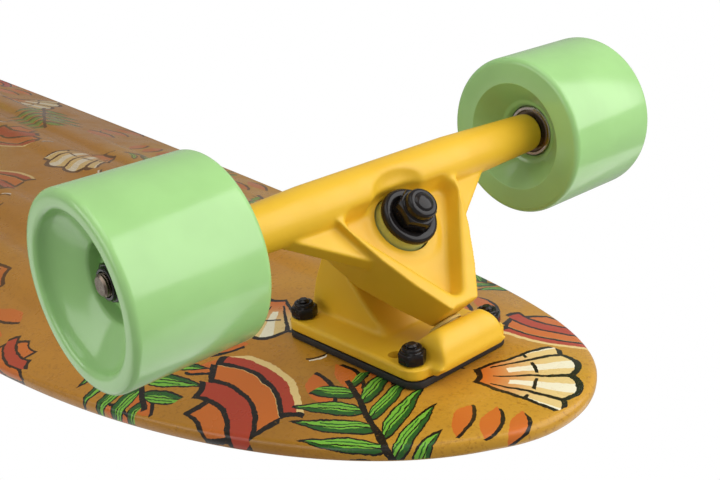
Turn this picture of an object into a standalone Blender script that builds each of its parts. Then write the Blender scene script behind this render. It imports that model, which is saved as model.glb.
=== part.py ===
"""A plastic longboard: a moulded cambered deck on two reverse-kingpin trucks with four urethane wheels.

Metres, +Z up, wheels down. +X runs along the board and +Y to its left. The origin lies on the ground
under the middle of the board.

Each truck is built in local frames. The pad frame has its origin on the deck's underside at the
centre of the four mounting bolts, X towards the board's end and Z up. The pin frame shares that
origin and leans with the kingpin: its Z runs down the kingpin, away from the deck, its Y is the
pad's Y, and its X points from the pivot towards the axle. "Along" is a place on the pin frame's X
and "depth" one on its Z. A wheel frame has its Z on the axle, outwards from the middle plane.
"""

from math import acos, atan2, cos, hypot, pi, radians, sin, sqrt, tan

import bmesh
import bpy
from mathutils import Matrix

# Clearance between pieces that meet
GAP = 0.0003

# Deck
DECK_LENGTH = 0.914
DECK_WIDTH = 0.241
DECK_THICKNESS = 0.007
RIM_ROUNDING = 0.0030
OUTLINE_POWER_LENGTH = 2.5
OUTLINE_POWER_WIDTH = 2.1
PAD_HALF_WIDTH = 0.026
EDGE_RISE = 0.0202
EDGE_RISE_POWER = 1.3
PAD_TILT = radians(3.9)
PAD_INNER_REACH = 0.045
BOLTS_FROM_END = 0.087
RIB_OFFSETS = (0.033, 0.0665)
RIB_WIDTH = 0.025
RIB_HEIGHT = 0.0032
RIB_SINK = 0.002
RIB_END_TO_BOLTS = 0.058

# Mounting hardware
BOLT_SPACING_X = 0.0635
BOLT_SPACING_Y = 0.0413
SPARE_HOLE_STEP = 0.0095
BOLT_RADIUS = 0.00235
BOLT_HEAD_RADIUS = 0.0047
BOLT_HEAD_EDGE = 0.0005
BOLT_TIP = 0.0012
BOLT_HOLE_RADIUS = 0.0028
MOUNT_NUT_FLATS = 0.0095
MOUNT_NUT_HEX = 0.0046
MOUNT_NUT_COLLAR = 0.0018
MOUNT_NUT_COLLAR_RADIUS = 0.0040

# Riser pad and baseplate
RISER_THICKNESS = 0.003
PLATE_LENGTH = 0.0765
PLATE_WIDTH = 0.0532
PLATE_THICKNESS = 0.005
PLATE_CORNER = 0.006
TOWER_WIDTH = 0.0264
TOWER_FOOT = -0.0372
TOWER_WAIST = (-0.0322, -0.0235)
TOWER_TOE = 0.010
SEAT_MARGIN = 0.0018
BLOCK_WIDTH = 0.0292
BLOCK_CREST = -0.0203
BLOCK_CREST_LENGTH = 0.0042
BLOCK_LENGTH = 0.0088032
HEEL_LENGTH = 0.0069
HEEL_UNDERCUT = 0.0035
HEEL_WIDTH_CREST = 0.0300
HEEL_WIDTH_FOOT = 0.043
BLOCK_FACE_TO_PIVOT = 0.0042
CAST_ROUNDING = 0.0014
HEEL_ROUNDING = 0.0030

# Kingpin stack, as depths
KINGPIN_LEAN = radians(42)
KINGPIN_OFFSET = 0.0328
SEAT_DEPTH = 0.0113
BUSHING_HEIGHT = 0.0130
WEB_THICKNESS = 0.0060
WASHER_RADIUS = 0.0122
WASHER_THICKNESS = 0.0022
CUP_FLOOR = 0.0010
CUP_LIP = 0.0012
CUP_LIP_WIDTH = 0.0013
BUSHING_RADIUS = 0.0119
BUSHING_NECK_RADIUS = 0.0103
KINGPIN_RADIUS = 0.00475
KINGPIN_TIP = 0.0010
KINGPIN_HEAD_FLATS = 0.0143
KINGPIN_HEAD_HEIGHT = 0.0058
KINGPIN_HEAD_INSET = 0.0203
HEAD_ROOM = 0.003
KINGPIN_NUT_FLATS = 0.0143
KINGPIN_NUT_HEX = 0.0064
KINGPIN_NUT_COLLAR = 0.0040
KINGPIN_NUT_COLLAR_RADIUS = 0.0063
WEB_HOLE_RADIUS = 0.0078

# Hanger
AXLE_ALONG = 0.0500
AXLE_DEPTH = 0.0426
PIVOT_ALONG = -0.0130
PIVOT_DEPTH = 0.0320
NOSE_ALONG = -0.0066
NOSE_BACK = 0.0304
NOSE_HALF_WIDTH = 0.0071
BODY_FRONT = 0.0485
BODY_BACK = 0.0240
SHOULDER_ALONG = 0.0400
SHOULDER_HALF_WIDTH = 0.0310
BODY_BULGE = 0.0022
BODY_SIDE_LEAN = 0.0020
BODY_ROUNDING = 0.0016
GUSSET_FRONT = 0.0445
GUSSET_BACK = 0.0375
GUSSET_START = 0.0205
GUSSET_SPREAD = 0.0540
POCKET_DEPTH = 0.0075
POCKET_RIM = 0.0055
POCKET_FOOT_RADIUS = 0.0030
POCKET_CORNER_RADIUS = 0.0040
POCKET_TOP = 0.0415
POCKET_DRAFT = 0.0012
SEAT_CLEARANCE = 0.0003
SEAT_RING_WIDTH = 0.0042
SEAT_RING_HEIGHT = 0.0010
WASHER_ROOM = 0.0005
WASHER_SWAY = 0.0050
WASHER_ROOM_DEPTH = 0.0443
RELIEF_CLEARANCE = 0.0044
RELIEF_DEPTH = 0.0475
RELIEF_FLARE = 0.0030
HANGER_RADIUS = 0.0101
HANGER_END_RADIUS = 0.0082
HANGER_END_ROUNDING = 0.0008
HANGER_STRAIGHT = 0.076
PIVOT_PIN_RADIUS = 0.0040
PIVOT_PIN_ROOT = 0.0180
PIVOT_CUP_WALL = 0.0015
PIVOT_FLANGE_WIDTH = 0.0011
PIVOT_FLANGE_THICKNESS = 0.0013

# Axle, bearings and wheels, as distances from the middle plane
AXLE_RADIUS = 0.004
AXLE_TIP = 0.0006
AXLE_CHAMFER = 0.0005
BEARING_INNER_FACE = 0.0893
BEARING_WIDTH = 0.007
BEARING_RADIUS = 0.011
BEARING_PITCH = 0.017
SPACER_WALL = 0.0018
SPEED_WASHER = 0.001
AXLE_NUT_FLATS = 0.0127
AXLE_NUT_HEX = 0.0046
AXLE_NUT_COLLAR = 0.0016
AXLE_NUT_COLLAR_RADIUS = 0.0056
WHEEL_DIAMETER = 0.0685
WHEEL_WIDTH = 0.0512
WHEEL_MIDDLE = 0.1039
WHEEL_LIP = 0.0018
WHEEL_OUTER_DISH_RADIUS = 0.0280
WHEEL_INNER_DISH_RADIUS = 0.0231
WHEEL_DISH_WALL = 0.0023
WHEEL_CORE_RADIUS = 0.0082

ROUND_STEPS = 18
SMALL_STEPS = 10
WHEEL_STEPS = 28

# Worked out from the sizes above
BOLTS_X = DECK_LENGTH / 2 - BOLTS_FROM_END
BEND_END = BOLTS_X - PAD_INNER_REACH
RISER_TOP = -GAP
RISER_BOTTOM = RISER_TOP - RISER_THICKNESS
PLATE_TOP = RISER_BOTTOM - GAP
PLATE_BOTTOM = PLATE_TOP - PLATE_THICKNESS
PLATE_MIDDLE = (PLATE_TOP + PLATE_BOTTOM) / 2
MOUNT_NUT_TOP = PLATE_BOTTOM - GAP
LOWER_WASHER_BACK = SEAT_DEPTH + GAP
LOWER_BUSHING_BACK = LOWER_WASHER_BACK + WASHER_THICKNESS + GAP
WEB_BACK = LOWER_BUSHING_BACK + BUSHING_HEIGHT + GAP
WEB_FRONT = WEB_BACK + WEB_THICKNESS
WEB_MIDDLE = (WEB_BACK + WEB_FRONT) / 2
UPPER_BUSHING_BACK = WEB_FRONT + GAP
UPPER_WASHER_BACK = UPPER_BUSHING_BACK + BUSHING_HEIGHT + GAP
KINGPIN_NUT_BACK = UPPER_WASHER_BACK + CUP_FLOOR + GAP
KINGPIN_END = KINGPIN_NUT_BACK + KINGPIN_NUT_HEX + KINGPIN_NUT_COLLAR + KINGPIN_TIP
HEAD_SEAT = SEAT_DEPTH - KINGPIN_HEAD_INSET
SEAT_BORE = BUSHING_RADIUS + SEAT_CLEARANCE
POCKET_FLOOR = BODY_FRONT - POCKET_DEPTH
PIVOT_TILT = atan2(PIVOT_DEPTH - WEB_MIDDLE, KINGPIN_OFFSET - PIVOT_ALONG)
CUP_BORE = PIVOT_PIN_RADIUS + GAP
CUP_RADIUS = CUP_BORE + PIVOT_CUP_WALL
OUTER_BEARING_BACK = BEARING_INNER_FACE + BEARING_PITCH
OUTER_BEARING_FACE = OUTER_BEARING_BACK + BEARING_WIDTH
HANGER_END = BEARING_INNER_FACE - SPEED_WASHER - GAP
AXLE_NUT_BACK = OUTER_BEARING_FACE + SPEED_WASHER + GAP
AXLE_END = AXLE_NUT_BACK + AXLE_NUT_HEX + AXLE_NUT_COLLAR + AXLE_TIP


def pin_to_pad(along, depth):
    """X and Z in the pad frame of a point in the middle plane that the pin frame places."""
    return (
        depth * cos(KINGPIN_LEAN) - along * sin(KINGPIN_LEAN),
        -depth * sin(KINGPIN_LEAN) - along * cos(KINGPIN_LEAN),
    )


def pivot_axis(along):
    """A point of the steering axis in the pin frame."""
    return along, 0, PIVOT_DEPTH - (along - PIVOT_ALONG) * tan(PIVOT_TILT)


AXLE_X, AXLE_Z = pin_to_pad(AXLE_ALONG, AXLE_DEPTH)
PAD_HEIGHT = WHEEL_DIAMETER / 2 + AXLE_X * sin(PAD_TILT) - AXLE_Z * cos(PAD_TILT)
ALONG_STEERING_AXIS = (0, pi / 2 + PIVOT_TILT, 0)
UPRIGHT = (pi / 2, 0, 0)


def clear_scene():
    for obj in list(bpy.data.objects):
        bpy.data.objects.remove(obj, do_unlink=True)


def new_collection(name):
    collection = bpy.data.collections.new(name)
    bpy.context.scene.collection.children.link(collection)
    return collection


def material(name, colour, roughness, metallic=0.0):
    made = bpy.data.materials.new(name)
    made.use_nodes = True
    shader = made.node_tree.nodes["Principled BSDF"]
    shader.inputs["Base Color"].default_value = (*colour, 1)
    shader.inputs["Roughness"].default_value = roughness
    shader.inputs["Metallic"].default_value = metallic
    return made


def add(name, data, look, parent=None, location=(0, 0, 0), rotation=(0, 0, 0)):
    """A new object in the board's collection, placed under its parent."""
    obj = bpy.data.objects.new(name, data)
    BOARD.objects.link(obj)
    obj.parent = parent
    obj.location = location
    obj.rotation_euler = rotation
    if look:
        data.materials.append(LOOKS[look])
    return obj


def empty(name, parent=None, location=(0, 0, 0), rotation=(0, 0, 0)):
    return add(name, None, None, parent, location, rotation)


def boolean(obj, tool, operation):
    """Joins or cuts an object with another one, which becomes a helper that isn't rendered."""
    BOARD.objects.unlink(tool)
    HELPERS.objects.link(tool)
    tool.hide_render = True
    tool.display_type = "WIRE"
    step = obj.modifiers.new(f"{operation.lower()} {tool.name}", "BOOLEAN")
    step.operation = operation
    step.object = tool
    step.solver = "EXACT"


def bevel(obj, width, angle=radians(30)):
    rounding = obj.modifiers.new("rounding", "BEVEL")
    rounding.width = width
    rounding.segments = 2
    rounding.limit_method = "ANGLE"
    rounding.angle_limit = angle


def smooth(mesh):
    mesh.shade_smooth()
    mesh.set_sharp_from_angle(angle=radians(35))


def mesh_from(shape, name):
    """Writes a bmesh into a new mesh, its faces turned outwards."""
    bmesh.ops.recalc_face_normals(shape, faces=shape.faces)
    mesh = bpy.data.meshes.new(name)
    shape.to_mesh(mesh)
    shape.free()
    return mesh


def turned(
    name, profile, look, parent, location=(0, 0, 0), rotation=(0, 0, 0), steps=ROUND_STEPS, ring=False
):
    """A turned piece about its Z. The profile's points, (radius, height), run down its outer side."""
    mesh = bpy.data.meshes.new(name)
    shape = bmesh.new()
    corners = [shape.verts.new((radius, 0, height)) for radius, height in profile]
    followers = corners[1:] + corners[:1] if ring else corners[1:]
    for first, second in zip(corners, followers):
        shape.edges.new((first, second))
    shape.to_mesh(mesh)
    shape.free()
    obj = add(name, mesh, look, parent, location, rotation)
    spin = obj.modifiers.new("turn", "SCREW")
    spin.steps = spin.render_steps = steps
    spin.use_merge_vertices = True
    spin.merge_threshold = 0.00001
    spin.use_smooth_shade = True
    return obj


def tube(
    name, outer, inner, low, high, look, parent, location=(0, 0, 0), rotation=(0, 0, 0), steps=ROUND_STEPS
):
    profile = [(inner, high), (outer, high), (outer, low), (inner, low)]
    return turned(name, profile, look, parent, location, rotation, steps, ring=True)


def cylinder(
    name, radius, low, high, look, parent, location=(0, 0, 0), rotation=(0, 0, 0), steps=ROUND_STEPS
):
    """A cylinder on its Z, or a prism where it has few steps, such as a hexagon."""
    shape = bmesh.new()
    middle = Matrix.Translation((0, 0, (low + high) / 2))
    bmesh.ops.create_cone(
        shape, cap_ends=True, segments=steps, radius1=radius, radius2=radius, depth=high - low, matrix=middle
    )
    mesh = mesh_from(shape, name)
    smooth(mesh)
    return add(name, mesh, look, parent, location, rotation)


def prism(name, outline, low, high, look, parent, location=(0, 0, 0), rotation=(0, 0, 0)):
    """A flat outline in X and Y, given thickness from low to high on Z."""
    curve = bpy.data.curves.new(name, "CURVE")
    curve.dimensions = "2D"
    curve.fill_mode = "BOTH"
    curve.extrude = (high - low) / 2
    spline = curve.splines.new("POLY")
    spline.points.add(len(outline) - 1)
    for point, (x, y) in zip(spline.points, outline):
        point.co = (x, y, 0, 1)
    spline.use_cyclic_u = True
    drawn = bpy.data.objects.new(name + " outline", curve)
    bpy.context.scene.collection.objects.link(drawn)
    graph = bpy.context.evaluated_depsgraph_get()
    filled = bpy.data.meshes.new_from_object(drawn.evaluated_get(graph))
    bpy.data.objects.remove(drawn)
    shape = bmesh.new()
    shape.from_mesh(filled)
    bmesh.ops.remove_doubles(shape, verts=shape.verts, dist=0.00001)
    bmesh.ops.dissolve_limit(shape, angle_limit=radians(1), verts=shape.verts, edges=shape.edges)
    bmesh.ops.translate(shape, verts=shape.verts, vec=(0, 0, (low + high) / 2))
    return add(name, mesh_from(shape, name), look, parent, location, rotation)


def loft(name, sections, look, parent):
    """A closed hull through cross-sections, which are rings of as many points each."""
    shape = bmesh.new()
    rings = [[shape.verts.new(point) for point in section] for section in sections]
    for first, second in zip(rings, rings[1:]):
        for index in range(len(first)):
            shape.faces.new((first[index - 1], first[index], second[index], second[index - 1]))
    shape.faces.new(rings[0])
    shape.faces.new(rings[-1])
    return add(name, mesh_from(shape, name), look, parent)


def slab(name, columns, rows, upper, lower, look):
    """A closed sheet between the surfaces upper(u, v) and lower(u, v), with u and v from -1 to 1."""
    shape = bmesh.new()
    bmesh.ops.create_grid(shape, x_segments=columns, y_segments=rows, size=1)
    copied = bmesh.ops.extrude_face_region(shape, geom=shape.faces[:], use_keep_orig=True)
    raised = {corner for corner in copied["geom"] if isinstance(corner, bmesh.types.BMVert)}
    for corner in shape.verts:
        corner.co = (upper if corner in raised else lower)(corner.co.x, corner.co.y)
    mesh = mesh_from(shape, name)
    smooth(mesh)
    return add(name, mesh, look)


def arc(centre, radius, start, end, steps):
    return [
        (
            centre[0] + radius * cos(start + (end - start) * step / steps),
            centre[1] + radius * sin(start + (end - start) * step / steps),
        )
        for step in range(steps + 1)
    ]


def rounded_rectangle(length, width, corner):
    points = []
    for turn, (side_x, side_y) in enumerate(((1, 1), (-1, 1), (-1, -1), (1, -1))):
        centre = side_x * (length / 2 - corner), side_y * (width / 2 - corner)
        points += arc(centre, corner, turn * pi / 2, (turn + 1) * pi / 2, 3)
    return points


def rounded_triangle(foot, foot_radius, corner, corner_radius):
    """An outline round three circles: one at the foot on the middle plane, one at each upper corner."""
    reach, side = corner[0] - foot, corner[1]
    lean = atan2(side, reach) + acos((foot_radius - corner_radius) / hypot(reach, side))
    half = arc((foot, 0), foot_radius, pi, lean, 4) + arc(corner, corner_radius, lean, 0, 4)
    return half + [(along, -across) for along, across in reversed(half[1:])]


def underside_height(x, y):
    """The deck's lower face: cambered between the pads, straight over them, raised to the rim."""
    bend_drop = BEND_END * tan(PAD_TILT) / 3
    beyond = max(0.0, abs(x) - BEND_END)
    drop = bend_drop * (min(abs(x), BEND_END) / BEND_END) ** 3 + beyond * tan(PAD_TILT)
    drop_at_bolts = bend_drop + (BOLTS_X - BEND_END) * tan(PAD_TILT)
    over = max(0.0, abs(y) - PAD_HALF_WIDTH) / (DECK_WIDTH / 2 - PAD_HALF_WIDTH)
    return PAD_HEIGHT + drop_at_bolts - drop + EDGE_RISE * over ** EDGE_RISE_POWER


def outline_point(u, v):
    """The square of u and v laid over the deck's outline, a superellipse."""
    along, across = u * sqrt(1 - v * v / 2), v * sqrt(1 - u * u / 2)
    x = DECK_LENGTH / 2 * abs(along) ** (2 / OUTLINE_POWER_LENGTH)
    y = DECK_WIDTH / 2 * abs(across) ** (2 / OUTLINE_POWER_WIDTH)
    return (x if along > 0 else -x), (y if across > 0 else -y)


def deck_point(u, v, lift):
    x, y = outline_point(u, v)
    return x, y, underside_height(x, y) + lift


def build_rib(name, offset):
    """A long low rib under the deck that fades out at both ends. It is sunk a little into the deck."""
    half_length = BOLTS_X - RIB_END_TO_BOLTS

    def lower(u, v):
        x, y = u * half_length, offset + v * RIB_WIDTH / 2
        swell = (1 - abs(u) ** 12) * (1 - abs(v) ** 3)
        return x, y, underside_height(x, y) + RIB_SINK / 2 - (RIB_HEIGHT + RIB_SINK / 2) * swell

    def upper(u, v):
        x, y = u * half_length, offset + v * RIB_WIDTH / 2
        return x, y, underside_height(x, y) + RIB_SINK

    return slab(name, 16, 4, upper, lower, None)


def build_deck(pads):
    deck = slab(
        "deck", 34, 12, lambda u, v: deck_point(u, v, DECK_THICKNESS),
        lambda u, v: deck_point(u, v, 0), "deck"
    )
    bevel(deck, RIM_ROUNDING, radians(50))
    for side in (-1, 1):
        for number, offset in enumerate(RIB_OFFSETS):
            boolean(deck, build_rib(f"rib {side * (number + 1)}", side * offset), "UNION")
    profile = countersink(BOLT_HOLE_RADIUS, BOLT_HEAD_RADIUS + GAP, 0.004, 0.004)
    for truck, pad in pads.items():
        for number, (x, y) in enumerate(bolt_places(), 1):
            name = f"{truck} deck hole {number}"
            boolean(deck, turned(name, profile, None, pad, (x, y, 0), steps=SMALL_STEPS), "DIFFERENCE")


def countersink(shank, head, above, below):
    """A countersunk screw's outer side, from above the deck's top to below the pad's plane."""
    edge = DECK_THICKNESS - BOLT_HEAD_EDGE
    return [
        (0, DECK_THICKNESS + above),
        (head, DECK_THICKNESS + above),
        (head, edge),
        (shank, edge - (head - shank)),
        (shank, -below),
        (0, -below),
    ]


def bolt_places():
    """The four bolts' places in the pad frame."""
    return [
        (side_x * BOLT_SPACING_X / 2, side_y * BOLT_SPACING_Y / 2)
        for side_x in (-1, 1)
        for side_y in (-1, 1)
    ]


def lock_nut(name, sizes, bore, look, parent, location, rotation=(0, 0, 0), steps=SMALL_STEPS):
    """A hexagon with a round collar, standing on its XY plane. Sizes: flats, hexagon, collar, its radius."""
    flats, hexagon, collar, collar_radius = sizes
    nut = cylinder(name, flats / sqrt(3), 0, hexagon, look, parent, location, rotation, 6)
    place = parent, location, rotation, steps
    roll = cylinder(f"{name} collar", collar_radius, hexagon / 2, hexagon + collar, None, *place)
    boolean(nut, roll, "UNION")
    boolean(nut, cylinder(f"{name} bore", bore, -hexagon, 2 * hexagon + collar, None, *place), "DIFFERENCE")
    return nut


def build_hardware(truck, pad):
    """Four countersunk bolts through the deck, and their nuts under the baseplate."""
    sizes = MOUNT_NUT_FLATS, MOUNT_NUT_HEX, MOUNT_NUT_COLLAR, MOUNT_NUT_COLLAR_RADIUS
    below = MOUNT_NUT_HEX + MOUNT_NUT_COLLAR + BOLT_TIP - MOUNT_NUT_TOP
    profile = countersink(BOLT_RADIUS, BOLT_HEAD_RADIUS, 0, below)
    for number, (x, y) in enumerate(bolt_places(), 1):
        turned(f"{truck}_mounting_bolt_{number}", profile, "black steel", pad, (x, y, 0), steps=SMALL_STEPS)
        place = (x, y, MOUNT_NUT_TOP), (pi, 0, 0)
        lock_nut(f"{truck}_mounting_nut_{number}", sizes, BOLT_RADIUS + GAP, "black steel", pad, *place)


def cut_bolt_holes(host, pad, top, bottom):
    """The four bolt holes of a plate, and the two spare ones beside the outer pair."""
    spares = [(BOLT_SPACING_X / 2 - SPARE_HOLE_STEP, side * BOLT_SPACING_Y / 2) for side in (-1, 1)]
    for number, (x, y) in enumerate(bolt_places() + spares, 1):
        name = f"{host.name} hole {number}"
        hole = cylinder(
            name, BOLT_HOLE_RADIUS, bottom - 0.002, top + 0.002, None, pad, (x, y, 0), steps=SMALL_STEPS
        )
        boolean(host, hole, "DIFFERENCE")


def build_riser(truck, pad):
    outline = rounded_rectangle(PLATE_LENGTH, PLATE_WIDTH, PLATE_CORNER)
    riser = prism(f"{truck}_riser_pad", outline, RISER_BOTTOM, RISER_TOP, "rubber", pad)
    cut_bolt_holes(riser, pad, RISER_TOP, RISER_BOTTOM)


def build_tower(truck, pad):
    """The part of the baseplate that the kingpin stands on."""
    high_seat = pin_to_pad(KINGPIN_OFFSET + WASHER_RADIUS + SEAT_MARGIN, SEAT_DEPTH)
    low_seat = pin_to_pad(KINGPIN_OFFSET - WASHER_RADIUS - SEAT_MARGIN, SEAT_DEPTH)
    side = [
        (TOWER_FOOT, PLATE_MIDDLE),
        (TOWER_FOOT, PLATE_BOTTOM),
        TOWER_WAIST,
        high_seat,
        low_seat,
        (TOWER_TOE, PLATE_BOTTOM),
        (TOWER_TOE, PLATE_MIDDLE),
    ]
    tower = prism(f"{truck} tower", side, -TOWER_WIDTH / 2, TOWER_WIDTH / 2, None, pad, (0, 0, 0), UPRIGHT)
    bevel(tower, CAST_ROUNDING)
    return tower


def block_face(height):
    """X and Z in the pad frame of the pivot block's inner face, which is square to the pin frame's X."""
    along = PIVOT_ALONG + BLOCK_FACE_TO_PIVOT
    depth = (-height - along * cos(KINGPIN_LEAN)) / sin(KINGPIN_LEAN)
    return pin_to_pad(along, depth)


def block_reach():
    """X in the pad frame of the block's outer end, measured from its crest at the inner face."""
    return block_face(BLOCK_CREST)[0] + BLOCK_LENGTH


def build_pivot_block(truck, pad):
    """The block at the outer end that holds the pivot cup, between the outer nuts."""
    crest = block_face(BLOCK_CREST)
    side = [
        (block_face(PLATE_BOTTOM)[0], PLATE_MIDDLE),
        block_face(PLATE_BOTTOM),
        crest,
        (crest[0] + BLOCK_CREST_LENGTH, crest[1]),
        (block_reach() - 0.0008, (BLOCK_CREST + PLATE_BOTTOM) / 2),
        (block_reach() - 0.0008, PLATE_MIDDLE),
    ]
    block = prism(
        f"{truck} pivot block", side, -BLOCK_WIDTH / 2, BLOCK_WIDTH / 2, None, pad, (0, 0, 0), UPRIGHT
    )
    bevel(block, CAST_ROUNDING)
    return block


def build_heel(truck, pad):
    """The wide foot of the pivot block, past the outer nuts, whose sides draw in towards its crest."""
    crest, reach = BLOCK_CREST + 0.0012, block_reach()
    side = [
        (reach - HEEL_LENGTH, PLATE_TOP - 0.0008),
        (reach - HEEL_LENGTH, crest),
        (block_face(BLOCK_CREST)[0] + BLOCK_CREST_LENGTH, crest),
        (reach - 0.0014, (BLOCK_CREST + PLATE_BOTTOM) / 2),
        (reach, PLATE_BOTTOM),
        (reach - HEEL_UNDERCUT, PLATE_TOP - 0.0008),
    ]
    heel = prism(
        f"{truck} heel", side, -HEEL_WIDTH_FOOT / 2, HEEL_WIDTH_FOOT / 2, None, pad, (0, 0, 0), UPRIGHT
    )
    for corner in heel.data.vertices:
        rise = max(0.0, (PLATE_BOTTOM - corner.co.y) / (PLATE_BOTTOM - crest))
        corner.co.z *= 1 - rise * (1 - HEEL_WIDTH_CREST / HEEL_WIDTH_FOOT)
    bevel(heel, HEEL_ROUNDING)
    return heel


def build_baseplate(truck, pad, pin):
    """The cast baseplate: a plate with the kingpin's tower and the pivot's block."""
    outline = rounded_rectangle(PLATE_LENGTH, PLATE_WIDTH, PLATE_CORNER)
    plate = prism(f"{truck}_baseplate", outline, PLATE_BOTTOM, PLATE_TOP, "truck paint", pad)
    boolean(plate, build_tower(truck, pad), "UNION")
    boolean(plate, build_pivot_block(truck, pad), "UNION")
    boolean(plate, build_heel(truck, pad), "UNION")
    on_pivot = pin, pivot_axis(PIVOT_ALONG), ALONG_STEERING_AXIS
    bore_end = -CUP_RADIUS - GAP
    drill = cylinder(f"{truck} pivot bore", CUP_RADIUS + GAP, bore_end, 0.02, None, *on_pivot)
    boolean(plate, drill, "DIFFERENCE")
    on_kingpin = pin, (KINGPIN_OFFSET, 0, 0)
    hole = cylinder(
        f"{truck} kingpin hole", KINGPIN_RADIUS + GAP, HEAD_SEAT - 0.002, SEAT_DEPTH + 0.01, None, *on_kingpin
    )
    boolean(plate, hole, "DIFFERENCE")
    room = HEAD_SEAT - GAP - KINGPIN_HEAD_HEIGHT - HEAD_ROOM
    recess = cylinder(
        f"{truck} head recess", KINGPIN_HEAD_FLATS / sqrt(3) + 0.001, room, HEAD_SEAT, None, *on_kingpin
    )
    boolean(plate, recess, "DIFFERENCE")
    cut_bolt_holes(plate, pad, PLATE_TOP, PLATE_BOTTOM)


def build_pivot_cup(truck, pin):
    """The plastic cup in the block, in which the hanger's round-ended pin turns."""
    face = BLOCK_FACE_TO_PIVOT + GAP
    flange = CUP_RADIUS + PIVOT_FLANGE_WIDTH
    inside = arc((0, 0), CUP_BORE, -pi / 2, 0, 3)
    outside = [
        (CUP_BORE, face + PIVOT_FLANGE_THICKNESS),
        (flange, face + PIVOT_FLANGE_THICKNESS),
        (flange, face),
        (CUP_RADIUS, face),
        (CUP_RADIUS, -CUP_RADIUS),
        (0, -CUP_RADIUS),
    ]
    on_pivot = pin, pivot_axis(PIVOT_ALONG), ALONG_STEERING_AXIS
    turned(f"{truck}_pivot_cup", inside + outside, "pivot plastic", *on_pivot)


def build_kingpin_stack(truck, pin):
    """Kingpin, its washers, bushings and nut, from the baseplate's seat outwards."""
    place = pin, (KINGPIN_OFFSET, 0, 0)
    head_back = HEAD_SEAT - GAP - KINGPIN_HEAD_HEIGHT
    kingpin = cylinder(
        f"{truck}_kingpin", KINGPIN_HEAD_FLATS / sqrt(3), head_back, HEAD_SEAT - GAP, "black steel", *place, steps=6
    )
    shank = [
        (0, KINGPIN_END),
        (KINGPIN_RADIUS - 0.0009, KINGPIN_END),
        (KINGPIN_RADIUS, KINGPIN_END - 0.0009),
        (KINGPIN_RADIUS, head_back + 0.001),
        (0, head_back + 0.001),
    ]
    boolean(kingpin, turned(f"{truck} kingpin shank", shank, None, *place), "UNION")
    bore = KINGPIN_RADIUS + GAP
    washer_top = LOWER_WASHER_BACK + WASHER_THICKNESS
    tube(
        f"{truck}_boardside_washer", WASHER_RADIUS, bore, LOWER_WASHER_BACK, washer_top, "black steel", *place
    )
    bushing = [
        (bore, BUSHING_HEIGHT),
        (BUSHING_RADIUS - 0.001, BUSHING_HEIGHT),
        (BUSHING_RADIUS, BUSHING_HEIGHT - 0.001),
        (BUSHING_RADIUS, BUSHING_HEIGHT / 2),
        (BUSHING_NECK_RADIUS, 0),
        (bore, 0),
    ]
    turned(
        f"{truck}_boardside_bushing", shifted(bushing, LOWER_BUSHING_BACK),
        "bushing urethane", *place, ring=True
    )
    mirrored = [(radius, BUSHING_HEIGHT - height) for radius, height in reversed(bushing)]
    turned(
        f"{truck}_roadside_bushing", shifted(mirrored, UPPER_BUSHING_BACK),
        "bushing urethane", *place, ring=True
    )
    cup = [
        (bore, CUP_FLOOR),
        (WASHER_RADIUS - 0.0029, CUP_FLOOR),
        (WASHER_RADIUS - 0.0022, WASHER_THICKNESS),
        (WASHER_RADIUS - 0.0006, WASHER_THICKNESS),
        (WASHER_RADIUS, WASHER_THICKNESS - 0.0006),
        (WASHER_RADIUS, -CUP_LIP),
        (WASHER_RADIUS - CUP_LIP_WIDTH, -CUP_LIP),
        (WASHER_RADIUS - CUP_LIP_WIDTH, 0),
        (bore, 0),
    ]
    turned(f"{truck}_roadside_cup_washer", shifted(cup, UPPER_WASHER_BACK), "black steel", *place, ring=True)
    sizes = KINGPIN_NUT_FLATS, KINGPIN_NUT_HEX, KINGPIN_NUT_COLLAR, KINGPIN_NUT_COLLAR_RADIUS
    above = (KINGPIN_OFFSET, 0, KINGPIN_NUT_BACK)
    lock_nut(f"{truck}_kingpin_nut", sizes, bore, "black steel", pin, above, steps=ROUND_STEPS)


def shifted(profile, lift):
    return [(radius, height + lift) for radius, height in profile]


def body_half_width(along):
    """Half the hanger body's width at its rim, which swells a little between nose and shoulders."""
    share = (along - NOSE_ALONG) / (SHOULDER_ALONG - NOSE_ALONG)
    straight = NOSE_HALF_WIDTH + share * (SHOULDER_HALF_WIDTH - NOSE_HALF_WIDTH)
    return straight + BODY_BULGE * sin(pi * min(share, 1.0))


def build_body(truck, hung):
    """The hanger's wedge from the pivot's nose to the shoulders at the tube."""
    deepest = KINGPIN_OFFSET - SEAT_BORE
    rows = [
        (NOSE_ALONG, NOSE_BACK),
        ((NOSE_ALONG + deepest) / 2, (NOSE_BACK + BODY_BACK) / 2),
        (deepest, BODY_BACK),
        ((deepest + SHOULDER_ALONG) / 2, BODY_BACK),
        (SHOULDER_ALONG, BODY_BACK),
        (AXLE_ALONG, AXLE_DEPTH - HANGER_RADIUS * 0.8),
    ]
    sections = []
    for along, back in rows:
        front = min(BODY_FRONT, AXLE_DEPTH + HANGER_RADIUS * 0.6)
        rim = body_half_width(along)
        foot = rim - BODY_SIDE_LEAN
        sections.append(
            [(along, rim, front), (along, foot, back), (along, -foot, back), (along, -rim, front)]
        )
    body = loft(f"{truck}_hanger", sections, "truck paint", hung)
    bevel(body, BODY_ROUNDING, radians(40))
    return body


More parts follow.
